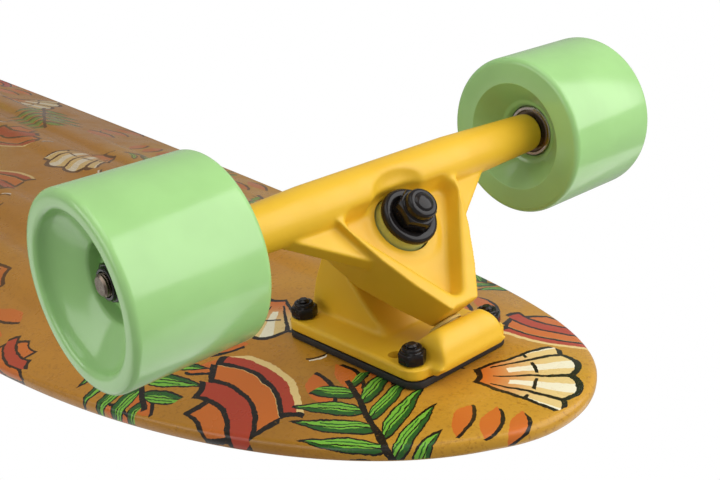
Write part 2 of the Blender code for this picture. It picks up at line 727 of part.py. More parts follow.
def build_pocket(truck, hung):
    """The three-cornered hollow behind the rim, a little wider at its mouth than at its floor."""
    corner_along = POCKET_TOP - POCKET_CORNER_RADIUS
    foot = NOSE_ALONG + POCKET_RIM + POCKET_FOOT_RADIUS
    corner_side = body_half_width(SHOULDER_ALONG) - POCKET_RIM - POCKET_CORNER_RADIUS
    sections = []
    for depth, draft in (
        (POCKET_FLOOR, 0),
        (BODY_FRONT, POCKET_DRAFT),
        (AXLE_DEPTH + 2 * HANGER_RADIUS, POCKET_DRAFT),
    ):
        outline = rounded_triangle(
            foot, POCKET_FOOT_RADIUS + draft, (corner_along, corner_side), POCKET_CORNER_RADIUS + draft
        )
        sections.append([(along, side, depth) for along, side in outline])
    return loft(f"{truck} pocket", sections, None, hung)


def build_washer_room(truck, hung):
    """The oblong room above the seat in which the cup washer sits as the hanger leans to either side."""
    start = POCKET_FLOOR + SEAT_RING_HEIGHT
    levels = (start, SEAT_BORE), (WASHER_ROOM_DEPTH, WASHER_RADIUS + WASHER_ROOM)
    sections = []
    for depth, radius in levels + ((RELIEF_DEPTH + HANGER_RADIUS, WASHER_RADIUS + WASHER_ROOM),):
        outline = arc((KINGPIN_OFFSET, WASHER_SWAY), radius, 0, pi, 8)
        outline += arc((KINGPIN_OFFSET, -WASHER_SWAY), radius, pi, 2 * pi, 8)
        sections.append([(along, side, depth) for along, side in outline])
    return loft(f"{truck} washer room", sections, None, hung)


def build_gussets(truck, hung):
    """The thin webs between the body's sides and the tube."""
    outline = [
        (GUSSET_START, 0),
        (GUSSET_START, body_half_width(GUSSET_START) - 0.002),
        (SHOULDER_ALONG + 0.001, GUSSET_SPREAD - 0.003),
        (AXLE_ALONG, GUSSET_SPREAD),
        (AXLE_ALONG, 0),
    ]
    webs = []
    for side, label in ((1, "left"), (-1, "right")):
        points = [(along, side * across) for along, across in outline]
        web = prism(f"{truck} {label} gusset", points, GUSSET_BACK, GUSSET_FRONT, None, hung)
        bevel(web, 0.0012, radians(50))
        webs.append(web)
    return webs


def build_hanger_tube(truck, hung):
    profile = [
        (0, HANGER_END),
        (HANGER_END_RADIUS - HANGER_END_ROUNDING, HANGER_END),
        (HANGER_END_RADIUS, HANGER_END - HANGER_END_ROUNDING),
        (HANGER_RADIUS, HANGER_STRAIGHT / 2),
    ]
    profile += [(radius, -place) for radius, place in reversed(profile)]
    return turned(f"{truck} hanger tube", profile, None, hung, (AXLE_ALONG, 0, AXLE_DEPTH), UPRIGHT, 24)


def build_hanger(truck, hung):
    """Body, gussets, tube and pivot pin in one casting, hollowed and bored."""
    hanger = build_body(truck, hung)
    for web in build_gussets(truck, hung):
        boolean(hanger, web, "UNION")
    boolean(hanger, build_hanger_tube(truck, hung), "UNION")
    boolean(hanger, build_pocket(truck, hung), "DIFFERENCE")
    on_kingpin = hung, (KINGPIN_OFFSET, 0, 0)
    ring = SEAT_BORE + SEAT_RING_WIDTH
    ring_top = POCKET_FLOOR + SEAT_RING_HEIGHT
    raised = cylinder(f"{truck} seat ring", ring, WEB_FRONT - 0.002, ring_top, None, *on_kingpin)
    boolean(hanger, raised, "UNION")
    boolean(hanger, build_washer_room(truck, hung), "DIFFERENCE")
    mouth = WASHER_RADIUS + RELIEF_CLEARANCE
    above = AXLE_DEPTH + 2 * HANGER_RADIUS
    relief = [(0, above), (mouth + RELIEF_FLARE, above), (mouth, RELIEF_DEPTH), (0, RELIEF_DEPTH)]
    boolean(hanger, turned(f"{truck} washer relief", relief, None, *on_kingpin, steps=24), "DIFFERENCE")
    upper = cylinder(f"{truck} roadside seat", SEAT_BORE, WEB_FRONT, above, None, *on_kingpin)
    boolean(hanger, upper, "DIFFERENCE")
    lower = cylinder(f"{truck} boardside seat", SEAT_BORE, BODY_BACK - 0.01, WEB_BACK, None, *on_kingpin)
    boolean(hanger, lower, "DIFFERENCE")
    hole = cylinder(
        f"{truck} web hole", WEB_HOLE_RADIUS, WEB_BACK - 0.001, WEB_FRONT + 0.001, None, *on_kingpin
    )
    boolean(hanger, hole, "DIFFERENCE")
    on_axle = hung, (AXLE_ALONG, 0, AXLE_DEPTH), UPRIGHT
    bore = cylinder(f"{truck} axle bore", AXLE_RADIUS + GAP, -2 * HANGER_END, 2 * HANGER_END, None, *on_axle)
    boolean(hanger, bore, "DIFFERENCE")
    pin_end = [(radius, -height) for radius, height in arc((0, 0), PIVOT_PIN_RADIUS, 0, pi / 2, 3)]
    pivot_pin = [(0, PIVOT_PIN_ROOT), (PIVOT_PIN_RADIUS, PIVOT_PIN_ROOT)] + pin_end
    on_pivot = hung, pivot_axis(PIVOT_ALONG), ALONG_STEERING_AXIS
    boolean(hanger, turned(f"{truck} pivot pin", pivot_pin, None, *on_pivot), "UNION")


def build_axle(truck, hung):
    profile = [
        (0, AXLE_END),
        (AXLE_RADIUS - AXLE_CHAMFER, AXLE_END),
        (AXLE_RADIUS, AXLE_END - AXLE_CHAMFER),
    ]
    profile += [(radius, -place) for radius, place in reversed(profile)]
    turned(f"{truck}_axle", profile, "axle steel", hung, (AXLE_ALONG, 0, AXLE_DEPTH), UPRIGHT)


def wheel_profile():
    """The wheel's section as (radius, distance from the middle plane): dish, tread, recess, bearing seats."""
    outer, inner = WHEEL_MIDDLE + WHEEL_WIDTH / 2, WHEEL_MIDDLE - WHEEL_WIDTH / 2
    radius = WHEEL_DIAMETER / 2
    seat = BEARING_RADIUS + GAP
    floor = seat + WHEEL_DISH_WALL
    return [
        (WHEEL_OUTER_DISH_RADIUS, outer),
        (radius - WHEEL_LIP, outer),
        (radius - 0.3 * WHEEL_LIP, outer - 0.3 * WHEEL_LIP),
        (radius, outer - WHEEL_LIP),
        (radius, inner + WHEEL_LIP),
        (radius - 0.3 * WHEEL_LIP, inner + 0.3 * WHEEL_LIP),
        (radius - WHEEL_LIP, inner),
        (WHEEL_INNER_DISH_RADIUS, inner),
        (seat + 0.0012, BEARING_INNER_FACE),
        (seat, BEARING_INNER_FACE + 0.0004),
        (seat, BEARING_INNER_FACE + BEARING_WIDTH + GAP),
        (WHEEL_CORE_RADIUS, BEARING_INNER_FACE + BEARING_WIDTH + GAP),
        (WHEEL_CORE_RADIUS, OUTER_BEARING_BACK - GAP),
        (seat, OUTER_BEARING_BACK - GAP),
        (seat, OUTER_BEARING_FACE),
        (floor, OUTER_BEARING_FACE),
        (floor + 0.0006, OUTER_BEARING_FACE + 0.002),
    ]


def build_wheel(truck, side, direction, hung):
    """One wheel with its bearings, and the spacer and axle nut that stay still with the axle."""
    corner = f"{truck}_{side}"
    place = (AXLE_ALONG, 0, AXLE_DEPTH), (-direction * pi / 2, 0, 0)
    spin = empty(f"{corner}_wheel_spin", hung, *place)
    turned(f"{corner}_wheel", wheel_profile(), "wheel urethane", spin, steps=WHEEL_STEPS, ring=True)
    bore = AXLE_RADIUS + GAP
    for label, face in (("inner", BEARING_INNER_FACE), ("outer", OUTER_BEARING_BACK)):
        name = f"{corner}_{label}_bearing"
        tube(name, BEARING_RADIUS, bore, face, face + BEARING_WIDTH, "bearing steel", spin)
    still = empty(f"{corner}_axle_end", hung, *place)
    spacer_start, spacer_end = BEARING_INNER_FACE + BEARING_WIDTH + GAP, OUTER_BEARING_BACK - GAP
    name = f"{corner}_bearing_spacer"
    tube(name, bore + SPACER_WALL, bore, spacer_start, spacer_end, "axle steel", still, steps=SMALL_STEPS)
    sizes = AXLE_NUT_FLATS, AXLE_NUT_HEX, AXLE_NUT_COLLAR, AXLE_NUT_COLLAR_RADIUS
    lock_nut(
        f"{corner}_axle_nut", sizes, bore, "black steel", still, (0, 0, AXLE_NUT_BACK), steps=ROUND_STEPS
    )


def build_truck(truck, pad, sides):
    """One truck. Its hanger hangs under an empty on the steering axis, whose Z is that axis."""
    pin = empty(f"{truck}_pin_frame", pad, (0, 0, 0), (0, pi / 2 + KINGPIN_LEAN, 0))
    build_riser(truck, pad)
    build_baseplate(truck, pad, pin)
    build_hardware(truck, pad)
    build_pivot_cup(truck, pin)
    build_kingpin_stack(truck, pin)
    steering = empty(f"{truck}_steering", pin, pivot_axis(PIVOT_ALONG), ALONG_STEERING_AXIS)
    hung = empty(f"{truck}_hanger_frame", steering)
    hung.matrix_basis = steering.matrix_basis.inverted()
    build_hanger(truck, hung)
    build_axle(truck, hung)
    for side, direction in sides.items():
        build_wheel(truck, side, direction, hung)


clear_scene()
BOARD = new_collection("Plastic longboard")
HELPERS = new_collection("Cutters")
HELPERS.hide_render = True
LOOKS = {
    "deck": material("deck polypropylene", (0.479, 0.223, 0.027), 0.35),
    "truck paint": material("satin yellow paint", (0.838, 0.515, 0.034), 0.42),
    "wheel urethane": material("mint urethane", (0.352, 0.672, 0.246), 0.25),
    "bushing urethane": material("olive urethane", (0.305, 0.402, 0.080), 0.40),
    "pivot plastic": material("pivot cup plastic", (0.62, 0.45, 0.12), 0.50),
    "rubber": material("riser rubber", (0.016, 0.016, 0.017), 0.70),
    "black steel": material("blackened steel", (0.012, 0.012, 0.013), 0.30, 0.6),
    "axle steel": material("axle steel", (0.20, 0.19, 0.18), 0.35, 1.0),
    "bearing steel": material("bearing shield", (0.40, 0.36, 0.33), 0.28, 1.0),
}
PADS = {
    "front": empty("front_pad_frame", None, (BOLTS_X, 0, PAD_HEIGHT), (0, PAD_TILT, 0)),
    "rear": empty("rear_pad_frame", None, (-BOLTS_X, 0, PAD_HEIGHT), (0, PAD_TILT, pi)),
}
build_deck(PADS)
build_truck("front", PADS["front"], {"left": 1, "right": -1})
build_truck("rear", PADS["rear"], {"left": -1, "right": 1})
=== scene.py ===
"""The looks of a plastic longboard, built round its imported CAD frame.

Metres, +Z up, wheels down, +X along the board and +Y to its left. The photographed truck is the front
one, at +X. A piece of a truck is modelled in the pad frame (origin on the deck's underside at the
centre of the four bolts, X outwards, Z up) or in the pin frame (same origin, Z down the kingpin, X
from pivot to axle), and a wheel's in the wheel frame (Z outwards on the axle), then put in place.
"""

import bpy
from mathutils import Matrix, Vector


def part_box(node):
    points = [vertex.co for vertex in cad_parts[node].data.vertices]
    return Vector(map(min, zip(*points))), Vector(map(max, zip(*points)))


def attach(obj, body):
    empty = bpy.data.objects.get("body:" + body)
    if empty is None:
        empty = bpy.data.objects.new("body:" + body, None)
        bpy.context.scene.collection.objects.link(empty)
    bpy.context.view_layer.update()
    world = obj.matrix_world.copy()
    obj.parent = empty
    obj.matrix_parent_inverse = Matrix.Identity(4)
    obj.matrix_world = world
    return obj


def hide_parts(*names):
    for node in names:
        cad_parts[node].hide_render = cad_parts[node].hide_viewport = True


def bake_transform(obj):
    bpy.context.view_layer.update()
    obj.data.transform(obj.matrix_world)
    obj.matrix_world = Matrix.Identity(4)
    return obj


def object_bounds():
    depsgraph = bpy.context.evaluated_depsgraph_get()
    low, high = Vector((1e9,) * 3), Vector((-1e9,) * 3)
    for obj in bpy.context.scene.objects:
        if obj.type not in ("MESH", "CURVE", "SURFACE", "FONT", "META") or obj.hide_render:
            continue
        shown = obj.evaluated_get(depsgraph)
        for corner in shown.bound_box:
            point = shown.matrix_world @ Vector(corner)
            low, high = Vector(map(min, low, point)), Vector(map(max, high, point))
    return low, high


bl_info = {
    "name": "Plastic longboard",
    "version": (1, 0, 0),
    "blender": (4, 5, 0),
    "location": "View3D > Sidebar > Longboard",
    "description": "Models and finishes each piece of a plastic longboard round its CAD frame",
    "category": "Add Mesh",
}

from collections import namedtuple
from contextlib import contextmanager
from math import acos, atan2, cos, hypot, pi, radians, sin, sqrt, tan

import bmesh
import bpy
from bpy.props import FloatProperty, FloatVectorProperty, PointerProperty
from bpy.types import Operator, Panel, PropertyGroup
from mathutils import Matrix, Vector

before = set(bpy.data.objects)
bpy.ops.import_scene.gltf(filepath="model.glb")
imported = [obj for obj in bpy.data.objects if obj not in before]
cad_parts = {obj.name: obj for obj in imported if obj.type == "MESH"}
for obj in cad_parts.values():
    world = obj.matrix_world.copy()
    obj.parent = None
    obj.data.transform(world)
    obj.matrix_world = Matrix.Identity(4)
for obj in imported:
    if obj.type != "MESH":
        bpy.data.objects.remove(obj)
CAD_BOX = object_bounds()
BOARD_LOW, BOARD_HIGH = CAD_BOX
DECK_HALF_LENGTH = BOARD_HIGH.x
DECK_HALF_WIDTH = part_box("deck")[1].y

GAP = 0.0003
TRUCKS = ("front", "rear")
SIDES = ("left", "right")
BOLTS = [(truck, number) for truck in TRUCKS for number in (1, 2, 3, 4)]
WHEELS = [(truck, side) for truck in TRUCKS for side in SIDES]

# Deck
OUTLINE_POWER_LENGTH = 2.5
OUTLINE_POWER_WIDTH = 2.1
PAD_HALF_WIDTH = 0.026
EDGE_RISE = 0.0202
EDGE_RISE_POWER = 1.3
PAD_TILT = radians(3.9)
PAD_HEIGHT = 0.099638
BOLTS_X = 0.370
BEND_END = 0.325
RIB_OFFSETS = (0.033, 0.0665)
RIB_HALF_LENGTH = 0.312
RIB_WIDTH = 0.025
RIB_END_POWER = 12
RIB_SIDE_POWER = 3
DECK_GRID = {"x_subdivisions": 288, "y_subdivisions": 104}
RIM_CUTS = 11
RIM_SQUARENESS = 2.6

# Bolts and baseplate, in the pad frame
BOLT_SPACING_X = 0.0635
BOLT_SPACING_Y = 0.0413
SPARE_HOLE_STEP = 0.0095
BOLT_RADIUS = 0.00235
BOLT_HEAD_RADIUS = 0.0047
BOLT_HEAD_EDGE = 0.0005
BOLT_HOLE_RADIUS = 0.0028
RISER_TOP = -0.0003
RISER_BOTTOM = -0.0033
PLATE_TOP = -0.0036
PLATE_BOTTOM = -0.0086
PLATE_MIDDLE = (PLATE_TOP + PLATE_BOTTOM) / 2
PLATE_LENGTH = 0.0765
PLATE_WIDTH = 0.0532
PLATE_CORNER = 0.006
MOUNT_NUT_TOP = -0.0089
BLOCK_CREST = -0.0203
BLOCK_REACH = 0.0445
BLOCK_RAW_HALF_WIDTH = 0.03
HEEL_STEP = -0.0114

# Kingpin stack. Seats, backs, fronts and the end are depths in the pin frame
KINGPIN_LEAN = radians(42)
KINGPIN_OFFSET = 0.0328
SEAT_DEPTH = 0.0113
HEAD_SEAT = -0.0090
RECESS_RADIUS = 0.00926
RECESS_DEPTH = 0.0091
KINGPIN_HEAD_FLATS = 0.0143
KINGPIN_HEAD_HEIGHT = 0.0058
LOWER_WASHER_BACK = 0.0116
WASHER_THICKNESS = 0.0022
WASHER_RADIUS = 0.0122
LOWER_BUSHING_BACK = 0.0141
BUSHING_HEIGHT = 0.0130
BUSHING_RADIUS = 0.0119
BUSHING_NECK_RADIUS = 0.0103
WEB_BACK = 0.0274
WEB_FRONT = 0.0334
UPPER_BUSHING_BACK = 0.0337
UPPER_WASHER_BACK = 0.0470
KINGPIN_NUT_BACK = 0.0483
KINGPIN_END = 0.0597
KINGPIN_RADIUS = 0.00475
SEAT_BORE = 0.0122
WEB_BORE = 0.0078

# Hanger, in the pin frame
AXLE_ALONG = 0.0500
AXLE_DEPTH = 0.0426
PIVOT_ALONG = -0.0130
PIVOT_DEPTH = 0.0320
PIVOT_TILT = atan2(PIVOT_DEPTH - (WEB_BACK + WEB_FRONT) / 2, KINGPIN_OFFSET - PIVOT_ALONG)
BLOCK_FACE_TO_PIVOT = 0.0042
NOSE_ALONG = -0.0066
NOSE_BACK = 0.0304
NOSE_HALF_WIDTH = 0.0071
BODY_FRONT = 0.0485
BODY_BACK = 0.0240
SHOULDER_ALONG = 0.0400
SHOULDER_HALF_WIDTH = 0.0310
HANGER_RADIUS = 0.0101
HANGER_END = 0.0880
CUP_BORE = 0.0043
CUP_RADIUS = 0.0058

# Wheels and axle. Ends, backs, faces and the wheel's middle are distances from the board's middle plane
AXLE_RADIUS = 0.004
AXLE_END = 0.1214
BEARING_INNER_FACE = 0.0893
BEARING_WIDTH = 0.007
BEARING_RADIUS = 0.011
OUTER_BEARING_BACK = 0.1063
OUTER_BEARING_FACE = 0.1133
AXLE_NUT_BACK = 0.1146
WHEEL_MIDDLE = 0.1039

# A lock nut's width over its flats, the heights of its hexagon and collar, and the collar's radius
NutSizes = namedtuple("NutSizes", "flats hexagon collar collar_radius")
MOUNTING_NUT = NutSizes(0.0095, 0.0046, 0.0018, 0.0040)
KINGPIN_NUT = NutSizes(0.0143, 0.0064, 0.0040, 0.0063)
AXLE_NUT = NutSizes(0.0127, 0.0038, 0.0013, 0.0056)


# Settings


def length(name, description, default):
    return FloatProperty(
        name=name, description=description, default=default, min=0.0001, unit="LENGTH", precision=5
    )


def colour(name, description, default):
    return FloatVectorProperty(
        name=name, description=description, default=default, size=3, min=0, max=1, subtype="COLOR"
    )


def share(name, description, default):
    return FloatProperty(name=name, description=description, default=default, min=0, max=1, subtype="FACTOR")


class DeckSettings(PropertyGroup):
    """Sizes and colours of the deck."""

    thickness: length("Thickness", "Thickness of the moulded deck", 0.007)
    rim_rounding: length("Rim rounding", "How far the deck's rounded rim reaches outwards", 0.0035)
    rib_height: length("Rib height", "How far the long ribs stand out below the deck", 0.0032)
    plastic: colour("Plastic", "Colour of the moulded plastic", (0.500, 0.222, 0.022))
    # Darkened, the shade colour also paints the shade towards the board's middle on the printed underside
    shade: colour("Shade", "Colour of the darker cloudy patches", (0.300, 0.122, 0.014))
    glow: colour("Glow", "Colour of the lighter yellow patches", (0.620, 0.335, 0.032))
    leaf_light: colour("Light leaf", "Print colour of the lit half of a leaf", (0.185, 0.470, 0.045))
    leaf_dark: colour("Dark leaf", "Print colour of the shaded half of a leaf", (0.022, 0.105, 0.016))
    ember: colour("Ember", "Print colour of the red strokes", (0.440, 0.052, 0.022))
    orange: colour("Orange", "Print colour of the orange bands", (0.600, 0.150, 0.020))
    cream: colour("Cream", "Print colour of the pale fans", (0.800, 0.590, 0.240))
    ink: colour("Ink", "Print colour of the outlines", (0.012, 0.008, 0.004))


class TruckSettings(PropertyGroup):
    """Sizes and colours of the trucks."""

    tube_radius: length("Tube radius", "Radius of the hanger's tube at its middle", HANGER_RADIUS)
    pocket_depth: length("Pocket depth", "Depth of the hanger's three-cornered pocket", 0.0075)
    cast_softness: length("Cast softness", "Size of the grid that rounds the castings", 0.00062)
    paint: colour("Paint", "Colour of the satin paint on the castings", (0.800, 0.480, 0.026))
    bushing: colour("Bushing", "Colour of the bushings' urethane", (0.470, 0.560, 0.210))
    steel: colour("Blackened steel", "Colour of nuts, bolts and washers", (0.012, 0.010, 0.010))


class WheelSettings(PropertyGroup):
    """Sizes and colours of the wheels."""

    diameter: length("Diameter", "Diameter of each wheel", 0.0685)
    width: length("Width", "Width of each wheel", 0.0512)
    lip_rounding: length("Lip rounding", "Radius of the wheel's rounded lips", 0.0026)
    urethane: colour("Urethane", "Colour of the wheels", (0.345, 0.615, 0.225))
    shield: colour("Shield", "Colour of the bearings' shields", (0.170, 0.130, 0.100))


class StageSettings(PropertyGroup):
    """Floor, light and background."""

    floor: colour("Floor", "Colour of the floor", (0.62, 0.62, 0.615))
    glow: colour("Floor glow", "Light that the floor gives off towards the camera", (0.36, 0.36, 0.36))
    ambient: share("Ambient", "Strength of the light from all round", 0.32)
    mirrored: share("Mirrored", "How far shiny surfaces show the white background", 0.15)
    softbox: FloatProperty(
        name="Softbox", description="Brightness of the large side lamp", default=3.0, min=0
    )


# Shader writing


class Wire:
    """One output of a shader node. Python's arithmetic on it adds Math nodes."""

    def __init__(self, look, socket):
        self.look = look
        self.socket = socket

    def __add__(self, other):
        return self.look.maths("ADD", self, other)

    __radd__ = __add__

    def __sub__(self, other):
        return self.look.maths("SUBTRACT", self, other)

    def __rsub__(self, other):
        return self.look.maths("SUBTRACT", other, self)

    def __mul__(self, other):
        return self.look.maths("MULTIPLY", self, other)

    __rmul__ = __mul__

    def __truediv__(self, other):
        return self.look.maths("DIVIDE", self, other)

    def __rtruediv__(self, other):
        return self.look.maths("DIVIDE", other, self)

    def __abs__(self):
        return self.look.maths("ABSOLUTE", self)

    def __lt__(self, other):
        return self.look.maths("LESS_THAN", self, other)

    def __gt__(self, other):
        return self.look.maths("GREATER_THAN", self, other)

    def __and__(self, other):
        return self.look.maths("MINIMUM", self, other)

    def __or__(self, other):
        return self.look.maths("MAXIMUM", self, other)


class Nodes:
    """The nodes of a material or a world."""

    def __init__(self, owner):
        owner.use_nodes = True
        self.nodes = owner.node_tree.nodes
        self.links = owner.node_tree.links

    def node(self, kind, settings, inputs, output=0):
        """Adds a node: first its settings, then the values or wires of its sockets."""
        made = self.nodes.new("ShaderNode" + kind)
        for name, value in settings.items():
            setattr(made, name, value)
        for key, value in inputs.items():
            if isinstance(value, Wire):
                self.links.new(value.socket, made.inputs[key])
            else:
                made.inputs[key].default_value = value
        return Wire(self, made.outputs[output])

    def maths(self, operation, *values):
        return self.node("Math", {"operation": operation}, dict(enumerate(values)))

    def end_with(self, shader, output):
        self.links.new(shader.socket, self.nodes[output].inputs["Surface"])


class Look(Nodes):
    """A procedural material: a Principled shader and the nodes that feed it."""

    def __init__(self, name, base, **constants):
        self.material = bpy.data.materials.new(name)
        super().__init__(self.material)
        self.shader = self.nodes["Principled BSDF"]
        self.shader.inputs["Base Color"].default_value = (*base, 1)
        for socket, value in constants.items():
            self.shader.inputs[socket.replace("_", " ")].default_value = value

    def at(self):
        return self.node("TexCoord", {}, {}, "Object")

    def noise(self, at, scale, detail=2.0, roughness=0.5, output="Fac"):
        inputs = {"Vector": at, "Scale": scale, "Detail": detail, "Roughness": roughness}
        return self.node("TexNoise", {}, inputs, output)

    def between(self, value, low, high, start=0.0, end=1.0):
        """A soft step: start below low, end above high."""
        levels = {"Value": value, "From Min": low, "From Max": high, "To Min": start, "To Max": end}
        return self.node("MapRange", {"interpolation_type": "SMOOTHSTEP"}, levels)

    def mix(self, factor, first, second):
        """Colour mix. A colour is a wire, or its red, green and blue."""
        first, second = (c if isinstance(c, Wire) else (*c, 1) for c in (first, second))
        return self.node("Mix", {"data_type": "RGBA"}, {0: factor, 6: first, 7: second}, 2)

    def shift(self, first, second, operation="ADD"):
        return self.node("VectorMath", {"operation": operation}, {0: first, 1: second})

    def scaled(self, vector, factor):
        return self.node("VectorMath", {"operation": "SCALE"}, {0: vector, "Scale": factor})

    def length_of(self, u, v):
        return self.maths("SQRT", u * u + v * v)

    def split(self, vector):
        made = self.node("SeparateXYZ", {}, {0: vector}).socket.node
        return [Wire(self, socket) for socket in made.outputs]

    def feed(self, socket, wire):
        self.links.new(wire.socket, self.shader.inputs[socket])

    def bump(self, height, distance, strength=1.0, over=None):
        inputs = {"Height": height, "Distance": distance, "Strength": strength}
        if over:
            inputs["Normal"] = over
        return self.node("Bump", {}, inputs)


# The deck's print

# The mesh attribute that holds where on the flattened print each corner of the deck lies
PRINT_PLACE = "print_place"

# Each motif is x, y, turn in degrees and size. The other half of the board has them turned half round.
TWIGS = (
    (0.4160, 0.0520, 205, 0.043),
    (0.2830, 0.0700, 28, 0.046),
    (0.3350, -0.0780, 160, 0.040),
    (0.1900, -0.0820, 15, 0.042),
    (0.2000, 0.0250, 120, 0.044),
    (0.0900, 0.0720, 205, 0.044),
    (0.0720, -0.0840, 330, 0.040),
)
SWELLS = (
    (0.3480, 0.0820, 285, 0.041),
    (0.4050, -0.0640, 70, 0.034),
    (0.2460, -0.0480, 200, 0.044),
    (0.2300, 0.0960, 100, 0.024),
    (0.1280, -0.0340, 20, 0.045),
    (0.0420, 0.0360, 250, 0.034),
)
FANS = (
    (0.4280, -0.0080, 320, 0.028),
    (0.3080, 0.0200, 60, 0.026),
    (0.2700, -0.0960, 215, 0.026),
    (0.1480, 0.0850, 140, 0.030),
    (0.0420, -0.0380, 80, 0.030),
)
STROKES = (
    (0.3830, 0.0350, 20, 0.019),
    (0.3150, 0.1000, 12, 0.018),
    (0.3900, 0.0960, 140, 0.019),
    (0.4430, 0.0260, 60, 0.016),
    (0.3120, 0.0520, 130, 0.019),
    (0.3680, -0.0420, 25, 0.019),
    (0.2980, -0.0500, 70, 0.021),
    (0.3680, -0.1000, 175, 0.018),
    (0.2460, 0.0400, 35, 0.020),
    (0.2460, -0.0020, 150, 0.020),
    (0.1900, 0.1020, 170, 0.020),
    (0.1860, -0.0320, 110, 0.020),
    (0.1350, 0.0260, 20, 0.022),
    (0.1300, -0.0950, 10, 0.020),
    (0.0300, 0.1000, 165, 0.022),
    (0.0250, -0.0920, 65, 0.018),
)


def motif_space(look, at, places):
    """Each motif's own u and v, which run from -1 to 1 inside its circle and are far off elsewhere."""
    local = look.node("CombineXYZ", {}, {0: 9.0, 1: 9.0})
    for x, y, turn, size in places:
        mapping = {"Location": (x, y, 0), "Rotation": (0, 0, radians(turn)), "Scale": (size, size, 1)}
        own = look.node("Mapping", {"vector_type": "TEXTURE"}, {"Vector": at, **mapping})
        inside = look.node("VectorMath", {"operation": "LENGTH"}, {0: own}, "Value") < 1.0
        local = look.node("Mix", {"data_type": "VECTOR"}, {0: inside, 4: local, 5: own}, 1)
    return look.split(local)[:2]


def print_twigs(look, at, under, deck):
    """Leafy twigs: pairs of pointed leaves on a stem, with a light and a dark side to each vein."""
    u, v = motif_space(look, at, TWIGS)
    across, left = abs(v), v > 0.0
    root = u - across * 0.85
    row = root * 3.6 + left * 0.5
    off = look.maths("FRACT", row) - 0.5
    reach = 0.18 + 0.44 * (1 - root * root)
    out = across / reach
    swell = look.maths("SQRT", out & 1.0) * (1 - out) * 1.08
    here = (abs(root) < 0.86) & (out < 1.0)
    edge = swell - abs(off)
    leaf, inner = (edge > 0.0) & here, (edge > 0.085) & here
    lit = (off > 0.03) | (edge > 0.30)
    streak = (abs(off - 0.17) < 0.03) & (out < 0.62)
    green = look.mix(lit, deck.leaf_dark, deck.leaf_light)
    green = look.mix(streak * inner, green, deck.leaf_dark)
    vein = (abs(off) < 0.03) & (out < 0.8)
    stem = (across < 0.028) & (abs(u) < 0.93)
    drawn = look.mix(leaf, under, deck.ink)
    drawn = look.mix(inner & (1 - vein), drawn, green)
    return look.mix(stem, drawn, deck.ink)


def print_swells(look, at, under, deck):
    """Rolling swells: nested arcs in orange and red that end one after another."""
    u, v = motif_space(look, at, SWELLS)
    u = u + 0.55
    far = look.length_of(u, v) / 1.5
    angle = look.maths("ARCTAN2", v, u)
    band = far * 6.0
    number = look.maths("FLOOR", band)
    part = band - number
    tail = 0.62 + 0.12 * look.maths("SINE", number * 2.4)
    bent = abs(angle + 0.12 * look.maths("SINE", far * 9.0))
    here = (bent < tail) & (far < 0.98) & (far > 0.34)
    line = (part < 0.2) | (bent > tail - 0.07 / (far + 0.2))
    odd = look.maths("MODULO", number, 2.0) > 0.5
    fill = look.mix(odd, deck.orange, deck.ember)
    rim = (far > 0.83) & (part > 0.62)
    fill = look.mix(rim, fill, deck.cream)
    drawn = look.mix(here, under, fill)
    return look.mix(here & line, drawn, deck.ink)


def print_fans(look, at, under, deck):
    """Ribbed fans with a scalloped edge, cream with an orange root."""
    u, v = motif_space(look, at, FANS)
    u = u + 0.85
    far = look.length_of(u, v) / 1.75
    angle = look.maths("ARCTAN2", v, u)
    lobe = abs(look.maths("SINE", angle * 7.5))
    edge = 0.90 + 0.08 * lobe
    here = (far < edge) & (abs(angle) < 0.62) & (far > 0.16)
    rib = (lobe < 0.20) & (far > 0.30)
    line = (far > edge - 0.055) | (abs(angle) > 0.62 - 0.035 / far) | (far < 0.21) | rib
    ring = (abs(far - 0.62) < 0.014) & (lobe > 0.5)
    fill = look.mix(look.between(far, 0.2, 0.75), deck.orange, deck.cream)
    fill = look.mix((lobe > 0.86) & (far > 0.42), fill, (0.90, 0.84, 0.62))
    drawn = look.mix(here, under, fill)
    return look.mix(here & (line | ring), drawn, deck.ink)


def print_strokes(look, at, under, deck):
    """Short brush strokes in red and orange, three to a place, each with an inked lower side."""
    u, v = motif_space(look, at, STROKES)
    rows = v * 1.6 + 10.5
    number = look.maths("FLOOR", rows)
    off = rows - number - 0.5
    chance = look.maths("FRACT", look.maths("SINE", number * 37.7) * 91.3)
    along = (u + (chance - 0.5) * 0.7) / (0.42 + 0.30 * chance)
    body = 0.36 * (1 - along * along)
    here = (abs(v) < 0.94) & (abs(u) < 1.0)
    paint = (abs(off) < body) & here
    inked = (abs(off + 0.06 + body * 0.9) < 0.075) & (abs(along - 0.1) < 0.95) & here
    fill = look.mix(chance > 0.45, deck.ember, deck.orange)
    drawn = look.mix(paint, under, fill)
    return look.mix(inked, drawn, deck.ink)


def print_flecks(look, at, under, deck):
    """Small scattered dashes, ink and white, in about one place in five."""
    cells = {"Vector": at, "Scale": 34.0, "Randomness": 0.75}
    centre = look.node("TexVoronoi", {"voronoi_dimensions": "2D"}, cells, "Position")
    dice = look.node("TexVoronoi", {"voronoi_dimensions": "2D"}, cells, "Color")
    first, second, third = look.split(dice)
    own = look.shift(at, centre, "SUBTRACT")
    facing = look.node("VectorRotate", {"rotation_type": "Z_AXIS"}, {"Vector": own, "Angle": first * 6.28})
    u, v, _ = look.split(facing)
    here = second < 0.22
    curve = v + 60.0 * u * u
    dash = (abs(curve) < 0.00055) & (abs(u) < 0.0045) & here
    pale = (abs(curve - 0.0013) < 0.0005) & (abs(u) < 0.0035) & here & (third > 0.4)
    drawn = look.mix(dash, under, deck.ink)
    return look.mix(pale, drawn, (0.86, 0.82, 0.70))


